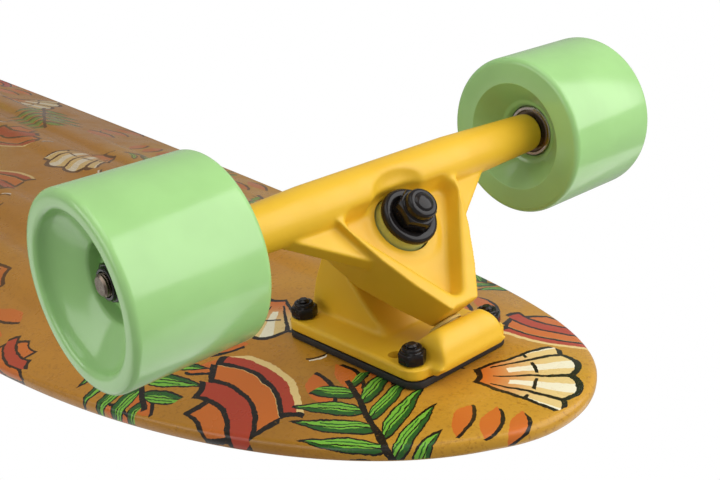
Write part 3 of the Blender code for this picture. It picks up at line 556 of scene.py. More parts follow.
def deck_plastic(look, at, deck):
    """The plastic's colour: cloudy yellow and brown patches, paler yellow at the tips, and a fine dark grain.
    """
    cloud = look.noise(at, 9.0, 4.0, 0.6)
    patch = look.noise(look.shift(at, (0.31, 0.17, 0.0)), 5.0, 3.0, 0.55)
    colour_here = look.mix(look.between(cloud, 0.45, 0.78, 0, 0.8), deck.plastic, deck.shade)
    tip = look.between(abs(look.split(at)[0]), 0.37, 0.455, 0, 0.7)
    colour_here = look.mix(look.between(patch, 0.50, 0.70, 0, 0.7) | tip, colour_here, deck.glow)
    grain = look.noise(at, 620.0, 3.0, 0.65)
    smear = look.noise(look.node("Mapping", {}, {"Vector": at, "Scale": (0.35, 1, 1)}), 160.0, 4.0, 0.6)
    colour_here = look.mix(look.between(grain, 0.50, 0.74, 0, 0.60), colour_here, deck.shade)
    return look.mix(look.between(smear, 0.55, 0.78, 0, 0.34), colour_here, deck.shade), grain


def printed_deck_look(deck):
    look = Look("printed deck plastic", deck.plastic, Roughness=0.30, Specular_IOR_Level=0.32)
    at = look.at()
    plastic, grain = deck_plastic(look, at, deck)
    x, y, _ = look.split(look.node("Attribute", {"attribute_name": PRINT_PLACE}, {}, "Vector"))
    half = look.maths("SIGN", x)
    flat = look.node("CombineXYZ", {}, {0: x * half, 1: y * half})
    wobble = look.noise(flat, 75.0, 2.0, 0.5, "Color")
    jag = look.noise(flat, 620.0, 1.0, 0.5, "Color")
    drawn_at = flat
    for stir, reach in ((wobble, 0.0036), (jag, 0.0008)):
        drawn_at = look.shift(drawn_at, look.scaled(look.shift(stir, (0.5, 0.5, 0.5), "SUBTRACT"), reach))
    drawn = plastic
    for layer in (print_flecks, print_strokes, print_swells, print_fans, print_twigs):
        drawn = layer(look, drawn_at, drawn, deck)
    worn = look.noise(at, 900.0, 2.0, 0.6)
    drawn = look.mix(look.between(worn, 0.60, 0.80, 0, 0.35), drawn, plastic)
    # Painted shade: the print and plastic darken towards the board's middle, where the lamps' light falls off
    middle = look.between(abs(x), 0.10, 0.30, 0.50, 0)
    look.feed("Base Color", look.mix(middle, drawn, tuple(c * 0.7 for c in deck.shade)))
    look.feed("Roughness", look.between(look.noise(at, 48.0, 4.0, 0.6), 0.35, 0.70, 0.26, 0.40))
    ripple = look.bump(look.noise(at, 60.0, 2.0, 0.5), 0.00018, 0.5)
    look.feed("Normal", look.bump(grain, 0.00005, 0.7, ripple))
    return look.material


def grip_deck_look(deck):
    """The deck's upper face: the same plastic, with a moulded grid of small raised squares."""
    look = Look("moulded grip plastic", deck.plastic, Roughness=0.46, Coat_Weight=0.05, Coat_Roughness=0.2)
    at = look.at()
    plastic, grain = deck_plastic(look, at, deck)
    x, y, _ = look.split(at)
    margin_x, margin_y, pitch = 0.016, 0.014, 0.0065
    reach_x, reach_y = DECK_HALF_LENGTH - margin_x, DECK_HALF_WIDTH - margin_y
    inside = look.maths("POWER", abs(x) / reach_x, OUTLINE_POWER_LENGTH)
    inside = inside + look.maths("POWER", abs(y) / reach_y, OUTLINE_POWER_WIDTH)
    grip = look.between(inside, 0.985, 1.0, 1, 0)
    cell_x = abs(look.maths("FRACT", (x + y) / pitch / sqrt(2)) - 0.5)
    cell_y = abs(look.maths("FRACT", (x - y) / pitch / sqrt(2)) - 0.5)
    raised = look.between(cell_x | cell_y, 0.34, 0.44, 1, 0) * grip
    look.feed("Base Color", look.mix(raised * 0.35, plastic, deck.glow))
    look.feed("Roughness", look.between(look.noise(at, 90.0, 3.0, 0.6), 0.3, 0.7, 0.42, 0.56) - raised * 0.06)
    look.feed("Normal", look.bump(grain, 0.00008, 0.8, look.bump(raised, 0.0006, 1.0)))
    return look.material


# Other finishes


def paint_look(truck):
    """Satin powder coat over sand-cast metal."""
    look = Look("satin yellow paint", truck.paint, Roughness=0.42, Specular_IOR_Level=0.38)
    at = look.at()
    tone = look.noise(at, 28.0, 3.0, 0.6)
    deep = tuple(channel * scale for channel, scale in zip(truck.paint, (0.90, 0.84, 0.70)))
    look.feed("Base Color", look.mix(look.between(tone, 0.40, 0.75, 0, 0.6), truck.paint, deep))
    peel = look.noise(at, 900.0, 2.0, 0.5)
    cast = look.noise(at, 130.0, 3.0, 0.55)
    look.feed("Roughness", look.between(cast, 0.3, 0.7, 0.36, 0.47))
    look.feed("Normal", look.bump(peel, 0.00003, 0.7, look.bump(cast, 0.00012, 0.6)))
    return look.material


def urethane_look(name, base, roughness, glow):
    """Poured urethane: faintly milky, with a soft mottle."""
    look = Look(
        name,
        base,
        Roughness=roughness,
        Subsurface_Weight=glow,
        Subsurface_Scale=0.004,
        Subsurface_Radius=(0.8, 1.0, 0.5),
    )
    at = look.at()
    mottle = look.noise(at, 35.0, 3.0, 0.5)
    pale = tuple(min(1, channel * 1.03 + 0.005) for channel in base)
    deep = tuple(channel * 0.96 for channel in base)
    look.feed("Base Color", look.mix(look.between(mottle, 0.35, 0.65), deep, pale))
    cloud = look.noise(at, 60.0, 3.0, 0.6)
    look.feed("Roughness", look.between(cloud, 0.3, 0.7, roughness - 0.02, roughness + 0.04))
    look.feed("Normal", look.bump(look.noise(at, 300.0, 2.0, 0.5), 0.00002, 0.4))
    return look.material


def steel_look(name, base, metallic, low, high, worn=None):
    """Steel, blackened or bare, with a drawn grain and a little rubbed colour."""
    look = Look(name, base, Metallic=metallic, Roughness=low, Specular_IOR_Level=0.24)
    at = look.at()
    rub = look.noise(at, 260.0, 4.0, 0.6)
    worn = worn or tuple(min(1, channel * 1.5 + 0.02) for channel in base)
    look.feed("Base Color", look.mix(look.between(rub, 0.55, 0.72), base, worn))
    look.feed("Roughness", look.between(look.noise(at, 700.0, 3.0, 0.6), 0.3, 0.7, low, high))
    look.feed("Normal", look.bump(look.noise(at, 1500.0, 2.0, 0.5), 0.00002, 0.6))
    return look.material


def moulded_look(name, base, low, high, grain):
    """Rubber or plain plastic with a fine even grain."""
    look = Look(name, base, Roughness=low, Specular_IOR_Level=0.4)
    at = look.at()
    dust = look.noise(at, 70.0, 4.0, 0.65)
    pale = tuple(min(1, channel * 1.4 + 0.01) for channel in base)
    look.feed("Base Color", look.mix(look.between(dust, 0.45, 0.75), base, pale))
    look.feed("Roughness", look.between(dust, 0.3, 0.7, low, high))
    look.feed("Normal", look.bump(look.noise(at, 1100.0, 2.0, 0.5), grain, 0.8))
    return look.material


LOOKS = {}


def look_of(name):
    """The material of that name, made when it is first asked for."""
    if name not in LOOKS:
        scene = bpy.context.scene
        deck, truck, wheel = scene.longboard_deck, scene.longboard_truck, scene.longboard_wheel
        rubbed = (0.026, 0.017, 0.012)
        LOOKS[name] = {
            "print": lambda: printed_deck_look(deck),
            "grip": lambda: grip_deck_look(deck),
            "paint": lambda: paint_look(truck),
            "wheel": lambda: urethane_look("mint urethane", wheel.urethane, 0.17, 0.10),
            "bushing": lambda: urethane_look("olive urethane", truck.bushing, 0.36, 0.15),
            "rubber": lambda: moulded_look("riser rubber", (0.014, 0.014, 0.014), 0.50, 0.66, 0.00005),
            "pivot": lambda: moulded_look("pivot cup plastic", (0.62, 0.45, 0.12), 0.42, 0.52, 0.00003),
            "nylon": lambda: moulded_look("lock nut nylon", (0.020, 0.020, 0.022), 0.30, 0.42, 0.00002),
            "black": lambda: steel_look("blackened steel", truck.steel, 0.0, 0.07, 0.16, rubbed),
            "axle": lambda: steel_look("axle steel", (0.150, 0.115, 0.090), 1.0, 0.24, 0.38),
            "race": lambda: steel_look("bearing race steel", (0.420, 0.370, 0.320), 1.0, 0.16, 0.28),
            "shield": lambda: steel_look("bearing shield", wheel.shield, 0.9, 0.26, 0.40),
            "brass": lambda: steel_look("speed washer steel", (0.560, 0.450, 0.290), 1.0, 0.20, 0.32),
        }[name]()
    return LOOKS[name]


# Modelling


def only(*objects):
    bpy.ops.object.select_all(action="DESELECT")
    for obj in objects:
        obj.select_set(True)
    bpy.context.view_layer.objects.active = objects[0]


@contextmanager
def editing(obj):
    only(obj)
    bpy.ops.object.mode_set(mode="EDIT")
    yield
    bpy.ops.object.mode_set(mode="OBJECT")


def choose(obj, kind, test):
    """Selects, in edit mode, the verts, edges or faces that pass a test, and no others."""
    bpy.ops.mesh.select_mode(type={"verts": "VERT", "edges": "EDGE", "faces": "FACE"}[kind])
    bpy.ops.mesh.select_all(action="DESELECT")
    shape = bmesh.from_edit_mesh(obj.data)
    for element in getattr(shape, kind):
        if test(element):
            element.select_set(True)
    shape.select_flush_mode()
    bmesh.update_edit_mesh(obj.data)


def tidy_mesh():
    """In edit mode: merges doubles and turns all faces outwards."""
    bpy.ops.mesh.select_all(action="SELECT")
    bpy.ops.mesh.remove_doubles(threshold=0.000001)
    bpy.ops.mesh.dissolve_degenerate(threshold=0.0000005)
    bpy.ops.mesh.select_all(action="SELECT")
    bpy.ops.mesh.normals_make_consistent(inside=False)


def drag_ring(obj, section):
    """Moves the selected ring of corners, in its own order, to the points of a section."""
    shape = bmesh.from_edit_mesh(obj.data)
    face = next((f for f in shape.faces if f.select), None)
    ring = [loop.vert for loop in face.loops] if face else list(shape.verts)
    for corner, point in zip(ring, section):
        corner.co = point
    bmesh.update_edit_mesh(obj.data)


def loft(name, sections):
    """A closed hull: a ring is extruded from section to section, which are rings of as many points."""
    bpy.ops.object.select_all(action="DESELECT")
    bpy.ops.mesh.primitive_circle_add(vertices=len(sections[0]), fill_type="NGON", radius=0.001)
    obj = bpy.context.object
    obj.name = name
    with editing(obj):
        bpy.ops.mesh.select_mode(type="FACE")
        bpy.ops.mesh.select_all(action="SELECT")
        drag_ring(obj, sections[0])
        for section in sections[1:]:
            bpy.ops.mesh.extrude_region_move(TRANSFORM_OT_translate={"value": (0, 0, 0.0001)})
            drag_ring(obj, section)
        tidy_mesh()
    return obj


def prism(name, outline, low, high, upright=False):
    """A flat outline given thickness: in X and Y from low to high on Z, or upright in X and Z along Y."""
    if upright:
        return loft(name, [[(x, y, z) for x, z in outline] for y in (low, high)])
    return loft(name, [[(x, y, z) for x, y in outline] for z in (low, high)])


def turned(name, profile, steps=64):
    """A piece turned about Z from the closed ring of its section's points, (radius, height)."""
    bpy.ops.object.select_all(action="DESELECT")
    bpy.ops.mesh.primitive_circle_add(vertices=len(profile), fill_type="NOTHING", radius=0.001)
    obj = bpy.context.object
    obj.name = name
    with editing(obj):
        bpy.ops.mesh.select_all(action="SELECT")
        drag_ring(obj, [(radius, 0, height) for radius, height in profile])
        bpy.ops.mesh.spin(steps=steps, angle=2 * pi, center=(0, 0, 0), axis=(0, 0, 1))
        tidy_mesh()
    return obj


def rod(name, radius, low, high, steps=64):
    return turned(name, [(0, high), (radius, high), (radius, low), (0, low)], steps)


def modify(obj, kind, **settings):
    """Adds a modifier and applies it."""
    only(obj)
    bpy.ops.object.modifier_add(type=kind)
    made = obj.modifiers[-1]
    for setting, value in settings.items():
        setattr(made, setting, value)
    bpy.ops.object.modifier_apply(modifier=made.name)


def combine(obj, tool, operation="DIFFERENCE"):
    modify(obj, "BOOLEAN", operation=operation, object=tool, solver="EXACT")
    bpy.data.objects.remove(tool)


def joined(*objects):
    only(*objects)
    bpy.ops.object.join()
    return bpy.context.object


def bevel(obj, width, segments=3, angle=30):
    limit = {"limit_method": "ANGLE", "angle_limit": radians(angle)}
    modify(obj, "BEVEL", width=width, segments=segments, harden_normals=False, **limit)


def soften(obj, grid, rounds):
    """Rounds a casting: an even fine grid is laid over it, then evened out."""
    modify(obj, "REMESH", mode="VOXEL", voxel_size=grid, adaptivity=0)
    modify(obj, "SMOOTH", factor=0.5, iterations=rounds)


def smooth_where(obj, test, rounds):
    """Evens out the part of a fine mesh whose corners pass a test."""
    group = obj.vertex_groups.new(name="evened")
    group.add([corner.index for corner in obj.data.vertices if test(corner.co)], 1.0, "REPLACE")
    modify(obj, "SMOOTH", factor=0.5, iterations=rounds, vertex_group=group.name)
    obj.vertex_groups.clear()


def shade(obj, angle=35):
    """Clears the mesh of doubles and shades it smooth but for its sharp edges."""
    with editing(obj):
        tidy_mesh()
    only(obj)
    bpy.ops.object.shade_smooth_by_angle(angle=radians(angle))


def moved(obj, matrix):
    """Puts a piece in its place, and the place into its mesh."""
    obj.matrix_world = matrix
    only(obj)
    bpy.ops.object.transform_apply(location=True, rotation=True, scale=True)
    return obj


def copied(template, matrix):
    only(template)
    bpy.ops.object.duplicate(linked=False)
    return moved(bpy.context.object, matrix)


def wear(obj, *names):
    """Gives a piece its materials."""
    obj.data.materials.clear()
    for name in names:
        obj.data.materials.append(look_of(name))


def face_middle(face):
    return face.calc_center_median()


def assign(obj, slot_number, test):
    """The faces that pass a test take the piece's material of that number."""
    with editing(obj):
        choose(obj, "faces", test)
        obj.active_material_index = slot_number
        bpy.ops.object.material_slot_assign()


def fit(obj, node, body):
    """A finished piece stands for its CAD node and rides on a body."""
    obj.name = obj.data.name = f"{node}_detail"
    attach(obj, body)
    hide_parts(node)


def fit_copies(template, places):
    """Copies of one finished piece. Places are node, body and matrix."""
    for node, body, matrix in places:
        fit(copied(template, matrix), node, body)
    bpy.data.objects.remove(template)


def fit_both(template, piece, frame_of, body=None):
    """One finished piece for each truck. It rides on the board, or on the truck's own body of a name."""
    places = [(f"{t}_{piece}", f"{t}_{body}" if body else "board", frame_of(t)) for t in TRUCKS]
    fit_copies(template, places)


# Places


def raised(height):
    return Matrix.Translation((0, 0, height))


# One frame inside another. The pivot's Z is the steering axis, and the axle's runs along the axle.
PIN_IN_PAD = Matrix.Rotation(pi / 2 + KINGPIN_LEAN, 4, "Y")
KINGPIN_IN_PIN = Matrix.Translation((KINGPIN_OFFSET, 0, 0))
PIVOT_IN_PIN = Matrix.Translation((PIVOT_ALONG, 0, PIVOT_DEPTH))
PIVOT_IN_PIN = PIVOT_IN_PIN @ Matrix.Rotation(pi / 2 + PIVOT_TILT, 4, "Y")
AXLE_MIDDLE_IN_PIN = Matrix.Translation((AXLE_ALONG, 0, AXLE_DEPTH))
AXLE_IN_PIN = AXLE_MIDDLE_IN_PIN @ Matrix.Rotation(pi / 2, 4, "X")


def pad_frame(truck):
    turn = 0 if truck == "front" else pi
    tilt = Matrix.Translation((BOLTS_X, 0, PAD_HEIGHT)) @ Matrix.Rotation(PAD_TILT, 4, "Y")
    return Matrix.Rotation(turn, 4, "Z") @ tilt


def pin_frame(truck):
    return pad_frame(truck) @ PIN_IN_PAD


def kingpin_frame(truck):
    return pin_frame(truck) @ KINGPIN_IN_PIN


def pivot_frame(truck):
    return pin_frame(truck) @ PIVOT_IN_PIN


def nut_frame(truck):
    return kingpin_frame(truck) @ raised(KINGPIN_NUT_BACK)


def axle_frame(truck):
    return pin_frame(truck) @ AXLE_IN_PIN


def wheel_frame(truck, side):
    """On the axle, with Z outwards."""
    outwards = 1 if (truck == "front") == (side == "left") else -1
    return pin_frame(truck) @ AXLE_MIDDLE_IN_PIN @ Matrix.Rotation(-outwards * pi / 2, 4, "X")


def bolt_frame(truck, number):
    x = (-1 if number < 3 else 1) * BOLT_SPACING_X / 2
    y = (-1 if number % 2 else 1) * BOLT_SPACING_Y / 2
    return pad_frame(truck) @ Matrix.Translation((x, y, 0))


def pin_to_pad(along, depth):
    return (
        depth * cos(KINGPIN_LEAN) - along * sin(KINGPIN_LEAN),
        -depth * sin(KINGPIN_LEAN) - along * cos(KINGPIN_LEAN),
    )


def arc(centre, radius, start, end, steps):
    return [
        (
            centre[0] + radius * cos(start + (end - start) * step / steps),
            centre[1] + radius * sin(start + (end - start) * step / steps),
        )
        for step in range(steps + 1)
    ]


def rounded_rectangle(low, high, half_width, corner, steps=6):
    """From low to high in X, and to half_width either side in Y."""
    points = []
    for turn, (end, side) in enumerate(((high, 1), (low, 1), (low, -1), (high, -1))):
        inwards = -corner if end == high else corner
        centre = end + inwards, side * (half_width - corner)
        points += arc(centre, corner, turn * pi / 2, (turn + 1) * pi / 2, steps)
    return points


def rounded_triangle(foot, foot_radius, corner, corner_radius, steps=8):
    """An outline round three circles: one at the foot on the middle line, one at each upper corner."""
    reach, side = corner[0] - foot, corner[1]
    lean = atan2(side, reach) + acos((foot_radius - corner_radius) / hypot(reach, side))
    half = arc((foot, 0), foot_radius, pi, lean, steps) + arc(corner, corner_radius, lean, 0, steps)
    return half + [(along, -across) for along, across in reversed(half[1:])]


# Deck


def rib_height_at(x, y, height):
    """How far the ribs stand out below the deck at a point."""
    total = 0.0
    for offset in RIB_OFFSETS:
        v = (abs(y) - offset) / (RIB_WIDTH / 2)
        if abs(x) < RIB_HALF_LENGTH and abs(v) < 1:
            fade = 1 - (abs(x) / RIB_HALF_LENGTH) ** RIB_END_POWER
            total += height * fade * (1 - abs(v) ** RIB_SIDE_POWER)
    return total


def underside_height(x, y):
    """The deck's lower face: cambered between the pads, straight over them, raised to the rim."""
    bend_drop = BEND_END * tan(PAD_TILT) / 3
    beyond = max(0.0, abs(x) - BEND_END)
    drop = bend_drop * (min(abs(x), BEND_END) / BEND_END) ** 3 + beyond * tan(PAD_TILT)
    drop_at_bolts = bend_drop + (BOLTS_X - BEND_END) * tan(PAD_TILT)
    over = max(0.0, abs(y) - PAD_HALF_WIDTH) / (DECK_HALF_WIDTH - PAD_HALF_WIDTH)
    return PAD_HEIGHT + drop_at_bolts - drop + EDGE_RISE * over**EDGE_RISE_POWER


def outline_point(u, v, inset):
    """The square of u and v laid over the deck's outline, less an inset."""
    along, across = u * sqrt(1 - v * v / 2), v * sqrt(1 - u * u / 2)
    x = (DECK_HALF_LENGTH - inset) * abs(along) ** (2 / OUTLINE_POWER_LENGTH)
    y = (DECK_HALF_WIDTH - inset) * abs(across) ** (2 / OUTLINE_POWER_WIDTH)
    return (x if along > 0 else -x), (y if across > 0 else -y)


def inside_outline(x, y, inset):
    """Below one inside the inset outline, one on it and more outside."""
    along, across = abs(x) / (DECK_HALF_LENGTH - inset), abs(y) / (DECK_HALF_WIDTH - inset)
    return along**OUTLINE_POWER_LENGTH + across**OUTLINE_POWER_WIDTH


def outwards_at(x, y, inset):
    """The direction in plan in which the inset outline faces."""
    half_length, half_width = DECK_HALF_LENGTH - inset, DECK_HALF_WIDTH - inset
    along = OUTLINE_POWER_LENGTH / half_length * (abs(x) / half_length) ** (OUTLINE_POWER_LENGTH - 1)
    across = OUTLINE_POWER_WIDTH / half_width * (abs(y) / half_width) ** (OUTLINE_POWER_WIDTH - 1)
    return Vector((along if x > 0 else -along, across if y > 0 else -across)).normalized()


def rim_point(share_up):
    """Across and up on the rim's rounded section, both from 0 to 1, for a share of the way round it."""
    turn, power = pi * share_up, 2 / RIM_SQUARENESS
    across, up = sin(turn) ** power, abs(cos(turn)) ** power
    return across, (1 - up if turn < pi / 2 else 1 + up) / 2


def deck_board(sizes):
    """The deck's two faces, ribs and rounded rim, without its bolt holes."""
    reach, thickness = sizes.rim_rounding, sizes.thickness
    bpy.ops.object.select_all(action="DESELECT")
    bpy.ops.mesh.primitive_grid_add(size=2, **DECK_GRID)
    deck = bpy.context.object
    with editing(deck):
        shape = bmesh.from_edit_mesh(deck.data)
        for corner in shape.verts:
            x, y = outline_point(corner.co.x, corner.co.y, reach)
            corner.co = (x, y, underside_height(x, y))
        bmesh.update_edit_mesh(deck.data)
        bpy.ops.mesh.select_all(action="SELECT")
        bpy.ops.mesh.extrude_region_move(TRANSFORM_OT_translate={"value": (0, 0, thickness)})
        choose(deck, "edges", lambda edge: (edge.verts[0].co - edge.verts[1].co).xy.length < 0.00001)
        bpy.ops.mesh.subdivide(number_cuts=RIM_CUTS)
        shape = bmesh.from_edit_mesh(deck.data)
        for corner in shape.verts:
            x, y, z = corner.co
            share_up = (z - underside_height(x, y)) / thickness
            if 0.01 < share_up < 0.99:
                across, up = rim_point(share_up)
                out = outwards_at(x, y, reach) * across * reach
                corner.co = (x + out.x, y + out.y, z + (up - share_up) * thickness)
            elif share_up < 0.5:
                corner.co.z -= rib_height_at(x, y, sizes.rib_height)
        bmesh.update_edit_mesh(deck.data)
        tidy_mesh()
    return deck


def bolt_drills(thickness):
    """The rooms of the eight countersunk bolts, as one tool."""
    edge, above, below = thickness - BOLT_HEAD_EDGE, 0.02, -0.004
    head, shank = BOLT_HEAD_RADIUS + GAP, BOLT_HOLE_RADIUS
    wide = [(0, above), (head, above), (head, edge)]
    narrow = [(shank, edge - head + shank), (shank, below), (0, below)]
    return joined(*[moved(turned("drill", wide + narrow, 32), bolt_frame(t, n)) for t, n in BOLTS])


def mark_print_places(deck, reach):
    """Lays the print out flat: the rounded rim, of that reach, is rolled down beside the underside."""
    marks = deck.data.attributes.new(PRINT_PLACE, "FLOAT_VECTOR", "POINT")
    for corner, mark in zip(deck.data.vertices, marks.data):
        x, y, z = corner.co
        mark.vector = (x, y, 0)
        if inside_outline(x, y, reach) > 0.999:
            out = outwards_at(x, y, reach) * max(0, z - underside_height(x, y))
            mark.vector = (x + out.x, y + out.y, 0)


class LONGBOARD_OT_deck(Operator):
    """Model the moulded deck with its ribs, rounded rim and bolt holes"""

    bl_idname = "longboard.deck"
    bl_label = "Deck"

    def execute(self, context):
        sizes = context.scene.longboard_deck
        deck = deck_board(sizes)
        combine(deck, bolt_drills(sizes.thickness))
        mark_print_places(deck, sizes.rim_rounding)
        wear(deck, "print", "grip")
        assign(deck, 1, lambda face: face.normal.z > 0.55)
        shade(deck, 40)
        fit(deck, "deck", "board")
        return {"FINISHED"}


# Trucks


def body_half_width(along):
    """Half the hanger body's width at its rim, which swells a little between nose and shoulders."""
    part = (along - NOSE_ALONG) / (SHOULDER_ALONG - NOSE_ALONG)
    straight = NOSE_HALF_WIDTH + part * (SHOULDER_HALF_WIDTH - NOSE_HALF_WIDTH)
    return straight + 0.0022 * sin(pi * min(part, 1.0))


def hanger_body(sizes):
    """The wedge from the pivot's nose to the shoulders at the tube."""
    deepest = KINGPIN_OFFSET - SEAT_BORE
    rows = [
        (NOSE_ALONG, NOSE_BACK),
        ((NOSE_ALONG + deepest) / 2, (NOSE_BACK + BODY_BACK) / 2),
        (deepest, BODY_BACK),
        ((deepest + SHOULDER_ALONG) / 2, BODY_BACK),
        (SHOULDER_ALONG, BODY_BACK),
        (AXLE_ALONG, AXLE_DEPTH - sizes.tube_radius * 0.8),
    ]
    draft = 0.0020
    sections = []
    for along, back in rows:
        rim = body_half_width(along)
        half = [(along, rim, BODY_FRONT), (along, rim - draft, back)]
        sections.append(half + [(along, -side, depth) for along, side, depth in reversed(half)])
    return loft("hanger", sections)


def hanger_pocket(sizes):
    """The three-cornered hollow behind the rim, narrower at its floor."""
    foot_radius, corner_radius, nose_rim, side_rim = 0.0030, 0.0040, 0.0055, 0.0036
    foot = NOSE_ALONG + nose_rim + foot_radius
    corner = 0.0375, body_half_width(SHOULDER_ALONG) - side_rim - corner_radius
    levels = (
        (BODY_FRONT - sizes.pocket_depth, -0.0008),
        (BODY_FRONT, 0.0014),
        (AXLE_DEPTH + 2 * sizes.tube_radius, 0.0014),
    )
    sections = []
    for depth, draft in levels:
        outline = rounded_triangle(foot, foot_radius + draft, corner, corner_radius + draft)
        sections.append([(along, side, depth) for along, side in outline])
    return loft("pocket", sections)


def ring_top(sizes):
    """The depth at which the ring round the bushing stands up from the pocket's floor."""
    return BODY_FRONT - sizes.pocket_depth + 0.0010


def washer_room(sizes):
    """The oblong room in which the cup washer sits as the hanger leans to either side."""
    sway, wide = 0.0050, WASHER_RADIUS + 0.0005
    sections = []
    for depth, radius in ((ring_top(sizes), SEAT_BORE), (0.0443, wide), (0.0576, wide)):
        outline = arc((KINGPIN_OFFSET, sway), radius, 0, pi, 16)
        outline += arc((KINGPIN_OFFSET, -sway), radius, pi, 2 * pi, 16)
        sections.append([(along, side, depth) for along, side in outline])
    return loft("washer room", sections)


def hanger_gusset(side):
    """One of the thin webs between the body's sides and the tube."""
    start, spread, back, front = 0.0205, 0.0540, 0.0375, 0.0445
    outline = [
        (start, 0),
        (start, side * (body_half_width(start) - 0.002)),
        (SHOULDER_ALONG + 0.001, side * (spread - 0.003)),
        (AXLE_ALONG, side * spread),
        (AXLE_ALONG, 0),
    ]
    return prism("gusset", outline, back, front)


def washer_bowl(above):
    """The bowl round the cup washer, open from a depth on."""
    floor = 0.0483
    wall = [(0.0204, above), (0.0192, 0.0534), (0.0176, 0.0510), (0.0156, 0.0493), (0.0130, floor)]
    return turned("bowl", [(0, above), *wall, (0, floor)])


def pivot_pin():
    """The round-nosed pin under the hanger's nose."""
    radius, root = 0.004, 0.0180
    nose = [(r, -height) for r, height in arc((0, 0), radius, 0, pi / 2, 6)]
    return moved(turned("pivot pin", [(0, root), (radius, root)] + nose, 32), PIVOT_IN_PIN)


def in_hollow(corner):
    """Whether a corner of the hanger, in the pin frame, is in its pocket or in the bowl round the washer."""
    along, side, depth = corner
    near = hypot(along - KINGPIN_OFFSET, side) < 0.0240 and depth > 0.0400
    return near or (depth > 0.0385 and along < 0.0440 and abs(side) < body_half_width(along) - 0.0018)


class LONGBOARD_OT_hangers(Operator):
    """Model the two cast hangers"""

    bl_idname = "longboard.hangers"
    bl_label = "Hangers"

    def execute(self, context):
        sizes = context.scene.longboard_truck
        radius, end_radius, taper_start, chamfer = sizes.tube_radius, 0.0082, 0.038, 0.0008
        above = AXLE_DEPTH + 2 * radius
        hanger = hanger_body(sizes)
        for side in (1, -1):
            combine(hanger, hanger_gusset(side), "UNION")
        half = [
            (0, HANGER_END),
            (end_radius - chamfer, HANGER_END),
            (end_radius, HANGER_END - chamfer),
            (radius, taper_start),
        ]
        tube = turned("tube", half + [(r, -place) for r, place in reversed(half)], 64)
        combine(hanger, moved(tube, AXLE_IN_PIN), "UNION")
        combine(hanger, hanger_pocket(sizes))
        ring = rod("ring", SEAT_BORE + 0.0042, WEB_FRONT - 0.002, ring_top(sizes))
        combine(hanger, moved(ring, KINGPIN_IN_PIN), "UNION")
        combine(hanger, washer_room(sizes))
        combine(hanger, moved(washer_bowl(above), KINGPIN_IN_PIN))
        soften(hanger, sizes.cast_softness, 8)
        smooth_where(hanger, in_hollow, 30)
        for drill, low, high in (
            (SEAT_BORE, WEB_FRONT, above),
            (SEAT_BORE, BODY_BACK - 0.01, WEB_BACK),
            (WEB_BORE, WEB_BACK - 0.001, WEB_FRONT + 0.001),
        ):
            combine(hanger, moved(rod("drill", drill, low, high, 96), KINGPIN_IN_PIN))
        combine(hanger, moved(rod("drill", AXLE_RADIUS + GAP, -0.1, 0.1, 48), AXLE_IN_PIN))
        combine(hanger, pivot_pin(), "UNION")
        wear(hanger, "paint")
        shade(hanger, 50)
        fit_both(hanger, "hanger", pin_frame, "hanger")
        return {"FINISHED"}


def block_face(height):
    """X and Z in the pad frame of the pivot block's inner face, which is square to the pin frame's X."""
    along = PIVOT_ALONG + BLOCK_FACE_TO_PIVOT
    depth = (-height - along * cos(KINGPIN_LEAN)) / sin(KINGPIN_LEAN)
    return pin_to_pad(along, depth)


def kingpin_tower():
    """The part of the baseplate that the kingpin stands on."""
    inner_end, outer_end, slope_end, half_width, rim = -0.0372, 0.010, -0.0235, 0.0132, 0.0018
    side = [
        (inner_end, PLATE_MIDDLE),
        (inner_end, PLATE_BOTTOM),
        (inner_end + 0.0050, slope_end),
        pin_to_pad(KINGPIN_OFFSET + WASHER_RADIUS + rim, SEAT_DEPTH),
        pin_to_pad(KINGPIN_OFFSET - WASHER_RADIUS - rim, SEAT_DEPTH),
        (outer_end, PLATE_BOTTOM),
        (outer_end, PLATE_MIDDLE),
    ]
    tower = prism("tower", side, -half_width, half_width, upright=True)
    bevel(tower, 0.0012, 2)
    return tower


def pivot_block():
    """The block at the outer end that holds the pivot cup, with its wide foot past the outer nuts."""
    (crest_x, crest_z), end, flank = block_face(BLOCK_CREST), BLOCK_REACH - 0.0008, -0.0105
    face_foot = block_face(PLATE_BOTTOM)
    side = [(face_foot[0], PLATE_MIDDLE), face_foot]
    for step in range(10):
        turn = step * pi / 18
        side.append((crest_x + (end - crest_x) * sin(turn), flank + (crest_z - flank) * cos(turn)))
    side.append((end, PLATE_MIDDLE))
    block = prism("block", side, -BLOCK_RAW_HALF_WIDTH, BLOCK_RAW_HALF_WIDTH, upright=True)
    round_shoulders(block, half_width=0.0164, top=BLOCK_CREST - 0.0004, radius=0.0080)
    combine(block, block_heel(), "UNION")
    return block


def block_heel():
    """The low wide step at the foot of the pivot block."""
    start, foot = 0.0376, PLATE_TOP - 0.0008
    side = [
        (start, foot),
        (start, HEEL_STEP),
        (BLOCK_REACH - 0.0016, HEEL_STEP),
        (BLOCK_REACH - 0.0002, HEEL_STEP + 0.0014),
        (BLOCK_REACH, PLATE_BOTTOM),
        (BLOCK_REACH - 0.0035, foot),
    ]
    heel = prism("heel", side, -BLOCK_RAW_HALF_WIDTH, BLOCK_RAW_HALF_WIDTH, upright=True)
    round_shoulders(heel, half_width=0.0184, top=HEEL_STEP, radius=0.0030, taper=0.0024)
    return heel


def round_shoulders(obj, half_width, top, radius, taper=0.0):
    """Keeps of a casting what lies within a round-shouldered arch seen along X, and rounds its edges."""
    low = PLATE_TOP + 0.002
    side = [(half_width, low), (half_width, PLATE_BOTTOM)]
    side += [(y - taper, -z) for y, z in arc((half_width - radius, -top - radius), radius, 0, pi / 2, 8)]
    outline = side + [(-y, z) for y, z in reversed(side)]
    arch = loft("arch", [[(x, y, z) for y, z in outline] for x in (0.0, 2 * BLOCK_REACH)])
    combine(obj, arch, "INTERSECT")
    bevel(obj, 0.0010, 2, 40)


